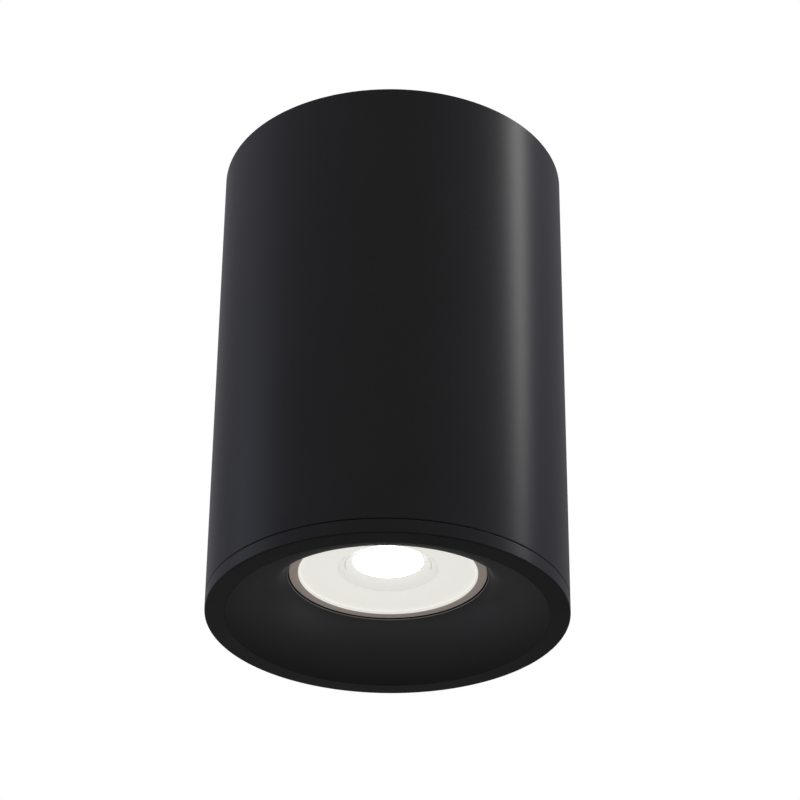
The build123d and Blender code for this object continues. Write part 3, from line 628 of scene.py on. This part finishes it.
# Upright slots cut round a body, which leave fins between them
def finLayout():
    floats = ["rootRadius", "slotLength", "slotWidth", "low", "high"]
    tree = Layout("finLayout", Int=["count"], Float=floats)
    root, length, width, low, high = tree.values(*floats)
    size = tree.triple(length, width, high - low)
    block = tree.add("GeometryNodeMeshCube", sockets={"Size": size})
    middle = tree.triple(root + length * 0.5, 0.0, (low + high) * 0.5)
    sockets = {"Geometry": block, "Translation": middle}
    block = tree.add("GeometryNodeTransform", sockets=sockets)
    count = tree.value("count")
    slots = tree.copies(block, count, tree.triple(), tree.index() / count * (2 * pi))
    slots = tree.add("GeometryNodeRealizeInstances", sockets={"Geometry": slots})
    settings = {"operation": "DIFFERENCE", "solver": "EXACT"}
    sockets = {"Mesh 1": tree.value("piece"), "Mesh 2": slots}
    return tree.ends(tree.add("GeometryNodeMeshBoolean", settings, sockets))


windingSteps = {"corner": 4, "section": 8}


# Turns of wire round a bobbin, one above the other
def windingLayout():
    floats = ["width", "depth", "corner", "wireRadius", "foot"]
    tree = Layout("windingLayout", Int=["turns"], Float=floats, Vector=["centre"])
    width, depth, corner, wire, foot = tree.values(*floats)
    sockets = {"Width": width, "Height": depth}
    outline = tree.add("GeometryNodeCurvePrimitiveQuadrilateral", sockets=sockets)
    sockets = {"Curve": outline, "Radius": corner, "Count": windingSteps["corner"]}
    outline = tree.add("GeometryNodeFilletCurve", {"mode": "POLY"}, sockets)
    sockets = {"Resolution": windingSteps["section"], "Radius": wire}
    section = tree.add("GeometryNodeCurvePrimitiveCircle", sockets=sockets)
    sockets = {"Curve": outline, "Profile Curve": section}
    loop = tree.add("GeometryNodeCurveToMesh", sockets=sockets)
    height = foot + tree.index() * wire * 2.0
    place = tree.moved(tree.triple(z=height), tree.value("centre"))
    loops = tree.copies(loop, tree.value("turns"), place, 0.0)
    joined = tree.add("GeometryNodeJoinGeometry", sockets={"Geometry": loops})
    tree.plug(joined.socket.node.inputs["Geometry"], tree.value("piece"))
    return tree.ends(joined)


layouts = {
    "ring": ringLayout(), "grid": gridLayout(), "fins": finLayout(), "winding": windingLayout(),
}
freeTurn = 1.5


# A layout's inputs from millimetres and degrees; a seed lets each copy turn by chance
def ringInputs(count, radius, startAngle, height, seed=0):
    return {
        "layout": "ring", "count": count, "radius": radius * mm, "height": height * mm,
        "startAngle": radians(startAngle), "chanceTurn": freeTurn if seed else 0.0, "seed": seed,
    }


def gridInputs(columns, rows, columnStep, rowStep, centre=(0.0, 0.0, 0.0), seed=0):
    return {
        "layout": "grid", "columns": columns, "rows": rows, "columnStep": columnStep * mm,
        "rowStep": rowStep * mm, "centre": tuple(value * mm for value in centre),
        "chanceTurn": freeTurn if seed else 0.0, "seed": seed,
    }


# Runs a layout on a piece, keeps the result as the piece's plain mesh and finishes it
def layOut(piece, inputs, body, slot, node):
    tree = layouts[inputs["layout"]]
    modifier = piece.modifiers.new("layout", "NODES")
    modifier.node_group = tree
    values = dict(inputs, finish=finishes[slot])
    for item in tree.interface.items_tree:
        if item.in_out == "INPUT" and item.name in values:
            modifier[item.identifier] = values[item.name]
    settle(piece)
    finishPiece(piece, body, slot, node)


rimLevel = -130.0

# Front ring: the flat rim, the band under the seam and the threaded neck
ringShape = {
    "rimBore": 40.45, "outer": 45.5, "shoulder": 3.62, "neckTop": 11.4, "neck": 42.9,
    "neckBore": 41.62, "ledge": 1.8, "edge": 0.35, "seamEdge": 0.10, "boreEdge": 0.04,
    "neckEdge": 0.3, "threadStart": 4.6, "threadEnd": 10.6, "pitch": 2.0, "threadDepth": 0.45,
    "threadFade": 0.8, "rowsPerTurn": 20,
}

# How sharp the groove of a thread is, and how near the wall its points lie
threadForm = {"power": 0.8, "reach": 0.01}


# Corners along a shank's wall, close enough together to take a thread
def threadRows(radius, start, end, pitch, rowsPerTurn=6):
    rows = max(2, round(abs(end - start) / pitch * rowsPerTurn))
    return [(radius, start + (end - start) * row / rows, 0) for row in range(rows + 1)]


# Presses a helical groove into the points of an outside wall, shallower near its ends
def cutThread(piece, wall, low, high, look, fadeLength=0.25):
    for vertex in piece.data.vertices:
        across = hypot(vertex.co.x, vertex.co.y) / mm
        height = vertex.co.z / mm
        if abs(across - wall) > threadForm["reach"] or height < low or height > high:
            continue
        turn = atan2(vertex.co.y, vertex.co.x) / (2 * pi)
        phase = ((height - low) / look["pitch"] - turn) % 1.0
        fade = min(1.0, (height - low) / fadeLength, (high - height) / fadeLength)
        wave = (0.5 - 0.5 * cos(2 * pi * phase)) ** threadForm["power"]
        groove = look["threadDepth"] * fade * wave
        vertex.co.x *= (across - groove) / across
        vertex.co.y *= (across - groove) / across


def frontRing():
    look = ringShape
    rim, shoulder, ledge = rimLevel, rimLevel + look["shoulder"], rimLevel + look["ledge"]
    threadLow, threadHigh = rim + look["threadStart"], rim + look["threadEnd"]
    neck, top, edge = look["neck"], rim + look["neckTop"], look["neckEdge"]
    corners = [
        (look["rimBore"], rim, look["boreEdge"]), (look["outer"], rim, look["edge"]),
        (look["outer"], shoulder, look["seamEdge"]), (neck, shoulder, 0),
    ]
    corners += threadRows(neck, threadLow, threadHigh, look["pitch"], look["rowsPerTurn"])
    corners += [
        (neck, top, edge), (look["neckBore"], top, edge),
        (look["neckBore"], ledge, 0), (look["rimBore"], ledge, 0),
    ]
    piece = lathe("frontRing", roundedOutline(corners), segments=256)
    cutThread(piece, neck, threadLow, threadHigh, look, look["threadFade"])
    finishPiece(piece, "ring_body", "black_coat", "front_ring")


frontRing()

# Housing: the tube with rounded ends and the two side holes near its top
housingShape = {
    "outer": 45.5, "bore": 43.0, "bottom": -126.25, "top": -0.3,
    "holeRadius": 1.55, "holeHeight": -6.3, "holeReach": 50.0,
    "corners": [
        ("bore", "bottom", 0.15), ("outer", "bottom", 0.35),
        ("outer", "top", 0.35), ("bore", "top", 0.15),
    ],
}


def housing():
    look = housingShape
    piece = lathe("housing", profile(look), segments=256)
    cutter = rod("sideHoles", look["holeRadius"], -look["holeReach"], look["holeReach"])
    rotate(cutter, "Y")
    shift(cutter, z=look["holeHeight"])
    carve(piece, cutter)
    finishPiece(piece, "housing_body", "black_coat", "housing")


housing()

# Horn: two tangent arcs from the rim to the lamp hole, a collar and the flange behind
hornShape = {
    "lip": 40.41, "throatRadius": 33.4464, "throatHeight": 2.8, "holeRadius": 25.35,
    "holeHeight": 11.65, "rimAngle": 15.6, "wall": 1.5, "collar": 3.0, "flangeFoot": 1.85,
    "flangeTop": 3.05, "flangeRadius": 41.52, "bead": 0.14,
    "mouthSteps": 10, "throatSteps": 16, "backSteps": 12, "beadSteps": 8,
}


def horn():
    look = hornShape
    rim = rimLevel
    start = (look["lip"], rim)
    throat = (look["throatRadius"], rim + look["throatHeight"])
    hole = (look["holeRadius"], rim + look["holeHeight"])
    rimAngle = pi - radians(look["rimAngle"])
    mouthArc, throatAngle = tangentArc(start, throat, rimAngle, look["mouthSteps"])
    throatArc, holeAngle = tangentArc(throat, hole, throatAngle, look["throatSteps"])
    wall = look["wall"]

    def behind(point, angle):
        return Vector(point) + wall * Vector((sin(angle), -cos(angle)))

    backHole = behind(hole, holeAngle)
    backThroat = behind(throat, throatAngle)
    backArc = tangentArc(backHole, backThroat, holeAngle + pi, look["backSteps"])[0]
    bead = look["bead"]
    centre = Vector((look["holeRadius"], hole[1] + bead))
    outline = [Vector(start)] + mouthArc + throatArc
    for step in range(1, look["beadSteps"]):
        angle = -pi / 2 - pi * step / look["beadSteps"]
        outline.append(centre + bead * Vector((cos(angle), sin(angle))))
    collarTop = hole[1] + look["collar"]
    outline += vectors([
        (look["holeRadius"], hole[1] + 2 * bead),
        (look["holeRadius"], collarTop),
        (look["holeRadius"] + wall, collarTop),
    ])
    outline += [backHole] + backArc
    flangeTop, flangeFoot = rim + look["flangeTop"], rim + look["flangeFoot"]
    outline += vectors([
        (look["lip"] - 2 * wall, flangeTop),
        (look["flangeRadius"], flangeTop),
        (look["flangeRadius"], flangeFoot),
        (look["lip"], flangeFoot),
    ])
    piece = lathe("horn", outline, segments=256)
    finishPiece(piece, "baffle_body", "black_horn", "baffle")


horn()
print("stage: housing, front ring and horn")

# Lamp's face: a warm grey bezel, a shallow dish and the lit window in its mouth
bezelShape = {
    "bore": 22.65, "groove": 23.6, "outer": 25.0, "front": -118.0, "lip": -116.0, "back": -113.0,
    "corners": [
        ("bore", "front", 0.12), ("outer", "front", 0.35), ("outer", "back", 0.1),
        ("groove", "back", 0.1), ("groove", "lip", 0), ("bore", "lip", 0),
    ],
}
lensShape = {
    "rim": 22.6, "bead": 22.44, "dish": 22.36, "mouth": 12.5, "window": 8.9, "windowBack": 10.2,
    "mouthBack": 13.8, "dishBack": 21.35, "flange": 23.55, "front": -117.95, "dishFoot": -117.35,
    "mouthFoot": -116.4, "flangeFoot": -115.95, "mouthTop": -115.1, "flangeTop": -114.95,
    "windowFoot": -114.4, "top": -113.1,
    "corners": [
        ("rim", "front", 0), ("bead", "front", 0.05), ("dish", "dishFoot", 0.12),
        ("mouth", "mouthFoot", 0.8), ("window", "windowFoot", 0), ("window", "top", 0.1),
        ("windowBack", "top", 0.3), ("mouthBack", "mouthTop", 0.3),
        ("dishBack", "flangeTop", 0.2), ("flange", "flangeTop", 0.1),
        ("flange", "flangeFoot", 0.1), ("rim", "flangeFoot", 0),
    ],
}
windowShape = {
    "radius": 8.85, "front": -114.4, "back": -113.2,
    "corners": [
        (0, "front", 0), ("radius", "front", 0.12), ("radius", "back", 0.12), (0, "back", 0),
    ],
}

turnedPiece("lamp_bezel", bezelShape, 192, "lamp_body", "bezel_grey")
turnedPiece("lamp_lens", lensShape, 192, "lamp_body", "lens_white", sharpAngle=50.0)
turnedPiece("lens_window", windowShape, 96, "lamp_body", "lens_window")
print("stage: lamp face")


leastCorner = 0.02


# A prism of rounded rectangles: one for each (height, inset), closed at both ends
def roundedPrism(name, width, depth, corner, floors, centre=(0.0, 0.0), steps=4):
    shape = bmesh.new()
    rings = []
    for height, inset in floors:
        ring = []
        radius = max(corner - inset, leastCorner)
        for quarter in range(4):
            side = 1 if quarter in (0, 3) else -1
            end = 1 if quarter in (0, 1) else -1
            middleX = centre[0] + side * (width / 2 - inset - radius)
            middleY = centre[1] + end * (depth / 2 - inset - radius)
            for step in range(steps + 1):
                angle = (quarter + step / steps) * pi / 2
                place = (middleX + radius * cos(angle), middleY + radius * sin(angle), height)
                ring.append(shape.verts.new(Vector(place) * mm))
        rings.append(ring)
    for lower, upper in zip(rings, rings[1:]):
        for index in range(len(lower)):
            other = (index + 1) % len(lower)
            shape.faces.new((lower[index], lower[other], upper[other], upper[index]))
    shape.faces.new(rings[0])
    shape.faces.new(rings[-1])
    return newPiece(name, shape)


# Screws: one template for each length, with a thread pressed into its shank and a cut slot
panHead = {
    "headRadius": 2.75, "headHeight": 2.0, "headRound": 0.8, "footRound": 0.15,
    "slotWidth": 0.8, "slotDepth": 0.9, "shankRadius": 1.5, "tip": 0.3, "pitch": 0.5,
    "threadDepth": 0.26, "threadLength": 8.0,
}
washerHead = dict(
    panHead, headRadius=3.8, headHeight=2.6, headRound=0.85, footRound=0.1, shankRadius=2.0,
    pitch=0.7, threadDepth=0.2, threadLength=0.6, tip=0.2, washerRadius=4.6, washerHeight=0.8,
    washerRound=0.2, length=1.15, x=0.0, y=-25.0, z=-1.2,
)
clampScrew = {
    "radius": 1.3, "height": 4.75, "topRound": 0.12, "slotWidth": 0.6, "slotDepth": 0.6,
    "threadGap": 0.1, "pitch": 0.5, "threadDepth": 0.22, "tip": 0.3,
}
sideScrew = {
    "radius": 1.5, "length": 2.75, "reach": 45.2, "height": -6.3, "socketRadius": 0.87,
    "socketDepth": 1.2, "pitch": 0.5, "threadDepth": 0.22, "tip": 0.3,
}
cutterShape = {"overlap": 1.0, "rise": 0.5, "corner": 0.05}


def cutSlot(piece, look, top, headRadius):
    length = 2 * headRadius + cutterShape["overlap"]
    floors = [(top - look["slotDepth"], 0), (top + cutterShape["rise"], 0)]
    carve(piece, roundedPrism("slot", length, look["slotWidth"], cutterShape["corner"], floors))


# A screw whose shank starts at height 0 and points down
def headedScrew(name, length, look):
    low = look["tip"] - length
    high = min(low + look["threadLength"], -look["tip"])
    shank, headRadius = look["shankRadius"], look["headRadius"]
    washer = look.get("washerHeight", 0.0)
    top = washer + look["headHeight"]
    corners = [(0, top, 0), (headRadius, top, look["headRound"])]
    corners += [(headRadius, washer, look["footRound"])]
    if washer:
        edge = look["washerRound"]
        corners += [(look["washerRadius"], washer, edge), (look["washerRadius"], 0, edge)]
    corners += [(shank, 0, 0)] + threadRows(shank, high, low, look["pitch"])
    corners += [(shank - look["tip"], -length, 0), (0, -length, 0)]
    piece = lathe(name, roundedOutline(corners), segments=40)
    cutThread(piece, shank, low, high, look)
    cutSlot(piece, look, top, headRadius)
    return piece


plateTop = -45.0
block = {
    "x": 0.0, "y": 24.017, "pitch": 9.5, "rowPitch": 8.4, "foot": plateTop + 10.8,
    "clampTop": -37.55, "tubeHeight": -38.7,
}
earthPlace = (-20.0, -20.0, plateTop + 0.8)
screwSets = {
    "plate_screws": {"length": 6.0, "inputs": ringInputs(3, 37.5, 30.0, plateTop, seed=3)},
    "holder_screws": {"length": 21.85, "inputs": ringInputs(2, 10.0, 90.0, plateTop, seed=8)},
    "block_screws": {
        "length": 12.0,
        "inputs": gridInputs(
            2, 1, block["pitch"], 0.0, (block["x"], block["y"], block["foot"]), seed=5),
    },
    "earth_screw": {"length": 4.0, "inputs": gridInputs(1, 1, 0.0, 0.0, earthPlace, seed=2)},
}


def plateScrews():
    for node, look in screwSets.items():
        piece = headedScrew(camelName(node), look["length"], panHead)
        layOut(piece, look["inputs"], "housing_body", "screw_steel", node)


# A headless screw that stands on its point
def headlessScrew(name, look, high, topCorners):
    low, wall = look["tip"], look["radius"]
    corners = topCorners + threadRows(wall, high, low, look["pitch"])
    corners += [(wall - look["tip"], 0, 0), (0, 0, 0)]
    piece = lathe(name, roundedOutline(corners), segments=32)
    cutThread(piece, wall, low, high, look)
    return piece


def clampScrews():
    look = clampScrew
    top, wall = look["height"], look["radius"]
    high = top - look["slotDepth"] - look["threadGap"]
    corners = [(0, top, 0), (wall, top, look["topRound"])]
    piece = headlessScrew("clampScrews", look, high, corners)
    cutSlot(piece, look, top, wall)
    centre = (block["x"], block["y"], block["clampTop"])
    inputs = gridInputs(3, 2, block["pitch"], block["rowPitch"], centre, seed=4)
    layOut(piece, inputs, "housing_body", "screw_steel", "terminal_screws")


# Grub screws with a hexagon socket, along the X axis
def sideScrews():
    look = sideScrew
    length, tip = look["length"], look["tip"]
    corners = [(0, length, 0), (look["radius"] - tip, length, 0)]
    piece = headlessScrew("sideScrews", look, length - tip, corners)
    foot, top = length - look["socketDepth"], length + cutterShape["overlap"]
    carve(piece, rod("socket", look["socketRadius"], foot, top, segments=6))
    rotate(piece, "Y")
    shift(piece, x=look["reach"] - length)
    inputs = ringInputs(2, 0.0, 0.0, look["height"])
    layOut(piece, inputs, "housing_body", "black_screw", "side_screws")


def ceilingEarthScrew():
    look = washerHead
    piece = headedScrew("ceilingEarthScrew", look["length"], look)
    rotate(piece, "X", pi)
    shift(piece, look["x"], look["y"], look["z"])
    finishPiece(piece, "ceiling_base", "screw_steel", "base_earth_screw")


plateScrews()
clampScrews()
sideScrews()
ceilingEarthScrew()

# Terminal clamps: brass tubes along Y with softened ends and two cross holes each
clampTube = {
    "bore": 1.7, "radius": 2.7, "low": -7.5, "high": 7.5, "holeRadius": 1.35, "holeOffset": 4.2,
    "corners": [
        ("bore", "low", 0.1), ("radius", "low", 0.25),
        ("radius", "high", 0.25), ("bore", "high", 0.1),
    ],
}


def terminalClamps():
    look = clampTube
    piece = lathe("terminalClamps", profile(look), segments=48)
    rotate(piece, "X")
    for side in (-1, 1):
        hole = rod("hole", look["holeRadius"], 0.0, look["radius"] + cutterShape["overlap"])
        shift(hole, y=side * look["holeOffset"])
        carve(piece, hole)
    centre = (block["x"], block["y"], block["tubeHeight"])
    inputs = gridInputs(3, 1, block["pitch"], 0.0, centre)
    layOut(piece, inputs, "housing_body", "brass", "terminal_clamps")


terminalClamps()

# Cable grommet: a rubber bush with rolled lips and a short spout
grommetShape = {
    "bore": 4.0, "neck": 8.95, "flange": 11.4, "spout": 5.6,
    "top": -1.15, "upper": -2.45, "lower": -3.75, "foot": -5.05, "end": -8.55,
    "corners": [
        ("bore", "top", 0.4), ("flange", "top", 0.5), ("flange", "upper", 0.5),
        ("neck", "upper", 0), ("neck", "lower", 0), ("flange", "lower", 0.5),
        ("flange", "foot", 0.5), ("neck", "foot", 0.8), ("spout", "end", 0.4),
        ("bore", "end", 0.3),
    ],
}
turnedPiece("cable_grommet", grommetShape, 96, "ceiling_base", "grommet_rubber")
print("stage: screws, clamps and grommet")

# Lamp's shell: a turned body whose taper is slotted into cooling fins
shellShape = {
    "spigot": 23.55, "spigotBore": 21.95, "platform": -110.65, "spigotFoot": -114.9,
    "shoulder": -112.95, "band": 25.0, "bandTop": -109.0, "top": -76.0, "topRadius": 15.5,
    "taperSteps": 18, "cavity": 11.6, "cavityFoot": -107.65, "finCount": 24,
    "fins": {
        "rootRadius": 14.0, "slotWidth": 2.2, "slotLength": 12.0, "low": -106.0, "high": -79.0,
    },
    "corners": [
        ("spigotBore", "platform", 0), ("spigotBore", "spigotFoot", 0.2),
        ("spigot", "spigotFoot", 0.2), ("spigot", "shoulder", 0),
        ("band", "shoulder", 0.25), ("band", "bandTop", 0),
    ],
}


def lampShell():
    look = shellShape
    start, end = (look["band"], look["bandTop"]), (look["topRadius"], look["top"])
    outline = profile(look) + tangentArc(start, end, pi / 2, look["taperSteps"])[0]
    cavity, foot, platform = look["cavity"], look["cavityFoot"], look["platform"]
    outline += vectors([(cavity, look["top"]), (cavity, foot), (0.0, foot), (0.0, platform)])
    piece = lathe("lampShell", outline)
    inputs = {label: value * mm for label, value in look["fins"].items()}
    inputs.update(layout="fins", count=look["finCount"])
    layOut(piece, inputs, "lamp_body", "shell_grey", "lamp_shell")


lampShell()

# Lamp's pins, light source, coil and capacitor
pinShape = {
    "neck": 1.5, "head": 2.45, "foot": -69.6, "headFoot": -63.8, "top": -61.2, "pitch": 10.0,
    "corners": [
        (0, "top", 0), ("head", "top", 0.85), ("head", "headFoot", 0.3),
        ("neck", "headFoot", 0), ("neck", "foot", 0.2), (0, "foot", 0),
    ],
}
chipShape = {
    "field": 5.6, "dam": 5.9, "radius": 6.5, "front": -113.05, "sunk": -112.8, "back": -112.25,
    "corners": [
        (0, "sunk", 0), ("field", "sunk", 0.1), ("dam", "front", 0.12),
        ("radius", "front", 0.2), ("radius", "back", 0), (0, "back", 0),
    ],
}
coilShape = {
    "width": 9.0, "depth": 6.5, "corner": 1.3, "foot": -104.65, "top": -94.65, "centre": 4.05,
    "flange": 0.9, "bevel": 0.15, "inset": 1.1, "turns": 16, "wireRadius": 0.25,
    "wireCorner": 0.7,
}
capacitorShape = {
    "radius": 3.2, "groove": 2.92, "rim": 2.45, "face": 2.3, "centre": -4.0,
    "top": -93.65, "sunk": -93.9, "grooveTop": -102.55, "grooveMiddle": -103.05,
    "grooveFoot": -103.55, "foot": -104.65,
    "corners": [
        (0, "sunk", 0), ("face", "sunk", 0.1), ("rim", "top", 0.05), ("radius", "top", 0.8),
        ("radius", "grooveTop", 0.2), ("groove", "grooveMiddle", 0.2),
        ("radius", "grooveFoot", 0.2), ("radius", "foot", 0.3), (0, "foot", 0),
    ],
}


def lampPins():
    piece = lathe("lampPins", profile(pinShape), segments=48)
    inputs = gridInputs(2, 1, pinShape["pitch"], 0.0)
    layOut(piece, inputs, "lamp_body", "nickel_pin", "lamp_pins")


def driverCoil():
    look = coilShape
    foot, top, flange, bevel = look["foot"], look["top"], look["flange"], look["bevel"]
    floors = [(foot, bevel), (foot + bevel, 0), (foot + flange, 0), (foot + flange, look["inset"])]
    floors += [(top - flange, look["inset"]), (top - flange, 0), (top - bevel, 0), (top, bevel)]
    width, depth, wire = look["width"], look["depth"], look["wireRadius"]
    centre = (0.0, look["centre"])
    piece = roundedPrism("driverCoil", width, depth, look["corner"], floors, centre)
    inset = 2 * (look["inset"] - wire)
    inputs = {
        "layout": "winding", "turns": look["turns"], "width": (width - inset) * mm,
        "depth": (depth - inset) * mm, "corner": look["wireCorner"] * mm, "wireRadius": wire * mm,
        "foot": (foot + flange + wire) * mm, "centre": (0.0, look["centre"] * mm, 0.0),
    }
    layOut(piece, inputs, "lamp_body", "coil_yellow", "driver_coil")


lampPins()
turnedPiece("led_chip", chipShape, 64, "lamp_body", "chip_yellow")
driverCoil()
turnedPiece("driver_capacitor", capacitorShape, 64, "lamp_body", "capacitor_black")
print("stage: lamp shell, pins and driver")

# Lamps: a long strip and a low card, and two strips below the level that fill the far views
lampLook = {
    "keyStrip": {
        "azimuth": 93.0, "elevation": 43.0, "distance": 1.5, "size": (0.18, 0.9),
        "energy": 7.2, "tint": (1.0, 0.99, 0.97),
    },
    "lowCard": {
        "azimuth": -91.0, "elevation": 20.0, "distance": 1.2, "size": (0.7, 0.42),
        "energy": 0.7, "tint": (0.72, 0.80, 1.0),
    },
    "lowRight": {
        "azimuth": 103.0, "elevation": -20.0, "distance": 1.5, "size": (0.11, 0.7),
        "energy": 1.0, "tint": (1.0, 0.99, 0.97),
    },
    "lowBack": {
        "azimuth": -122.0, "elevation": -20.0, "distance": 1.5, "size": (0.20, 0.7),
        "energy": 0.4, "tint": (0.96, 0.97, 1.0),
    },
}
lampAim = Vector((0.0, 0.0, -0.065))


# Azimuth 0 is at the camera's side, positive to the right
def addLamp(name, look):
    turn = radians(look["azimuth"])
    rise = radians(look["elevation"])
    away = Vector((sin(turn) * cos(rise), -cos(turn) * cos(rise), sin(rise)))
    data = bpy.data.lights.new(name, "AREA")
    data.shape = "RECTANGLE"
    data.size, data.size_y = look["size"]
    data.energy = look["energy"]
    data.color = look["tint"]
    lamp = bpy.data.objects.new(name, data)
    lamp.location = lampAim + away * look["distance"]
    lamp.rotation_euler = (-away).to_track_quat("-Z", "Y").to_euler()
    lamp.visible_camera = False
    bpy.context.collection.objects.link(lamp)


for lampName, lampSetting in lampLook.items():
    addLamp(lampName, lampSetting)

# Studio: an even fill, and a white backdrop that gloss sees dimmer ahead, low and to the right
studioLook = {
    "leftFill": colour(0.64, 0.64, 0.64), "rightFill": colour(0.86, 0.86, 0.86),
    "white": colour(1.0, 1.0, 1.0), "dark": colour(0.0, 0.0, 0.0),
    "middle": colour(0.80, 0.775, 0.785), "sides": colour(0.77, 0.80, 1.0),
    "ahead": 0.55, "aheadSpan": (0.05, 0.62), "low": 0.12, "lowSpan": (-0.8, -0.05),
    "right": 0.25, "rightAhead": (0.62, 0.86), "rightAcross": (-0.10, 0.15), "strength": 1.0,
}


def setStudio(look):
    world = bpy.data.worlds.new("studio")
    world.use_nodes = True
    studio = Graph(world.node_tree)
    camera = studio.add("ShaderNodeLightPath", output="Is Camera Ray")
    rays = camera.socket.node.outputs
    glossy = Signal(studio, rays["Is Glossy Ray"])
    through = Signal(studio, rays["Is Transmission Ray"])
    direction = studio.add("ShaderNodeTexCoord", output="Generated")
    across = studio.add("ShaderNodeSeparateXYZ", sockets={"Vector": direction})
    axes = across.socket.node.outputs
    forward = Signal(studio, axes["Y"])
    ahead = studio.climb(forward, *look["aheadSpan"])
    above = studio.climb(Signal(studio, axes["Z"]), *look["lowSpan"])
    right = studio.climb(forward, *look["rightAhead"]) * studio.climb(across, *look["rightAcross"])
    level = (1.0 - look["ahead"] * ahead) * (look["low"] + (1.0 - look["low"]) * above)
    level = level * (1.0 - look["right"] * right)
    tone = studio.blendColour(across.size(), look["middle"], look["sides"])
    dimmed = studio.blendColour(level, look["dark"], tone)
    backdrop = studio.blendColour(glossy, look["white"], dimmed)
    fill = studio.blendColour(studio.climb(across, -1.0, 1.0), look["leftFill"], look["rightFill"])
    light = studio.blendColour(camera + through + glossy, fill, backdrop)
    sockets = {"Color": light, "Strength": look["strength"]}
    background = studio.add("ShaderNodeBackground", sockets=sockets)
    ending = world.node_tree.nodes.new("ShaderNodeOutputWorld")
    studio.plug(ending.inputs["Surface"], background)
    bpy.context.scene.world = world


setStudio(studioLook)

# Pale floor, a room's height below the ceiling
floorLook = {
    "size": 120.0, "height": -1.6, "tone": colour(0.90, 0.90, 0.89),
    "shade": colour(0.82, 0.82, 0.81), "grainScale": 40.0, "roughness": 0.8,
}


def addFloor(look):
    half = look["size"] / 2
    corners = [(-half, -half), (half, -half), (half, half), (-half, half)]
    mesh = bpy.data.meshes.new("floor")
    mesh.from_pydata([(x, y, look["height"]) for x, y in corners], [], [(0, 1, 2, 3)])
    floor = bpy.data.objects.new("floor", mesh)
    bpy.context.collection.objects.link(floor)
    finish = Finish("floorPaper")
    grain = finish.noise(look["grainScale"])
    tone = finish.blendColour(grain, look["tone"], look["shade"])
    sockets = {"Base Color": tone, "Roughness": look["roughness"]}
    mesh.materials.append(finish.surface(sockets))
    floor.visible_glossy = False


addFloor(floorLook)
bpy.context.scene.view_settings.view_transform = "Standard"
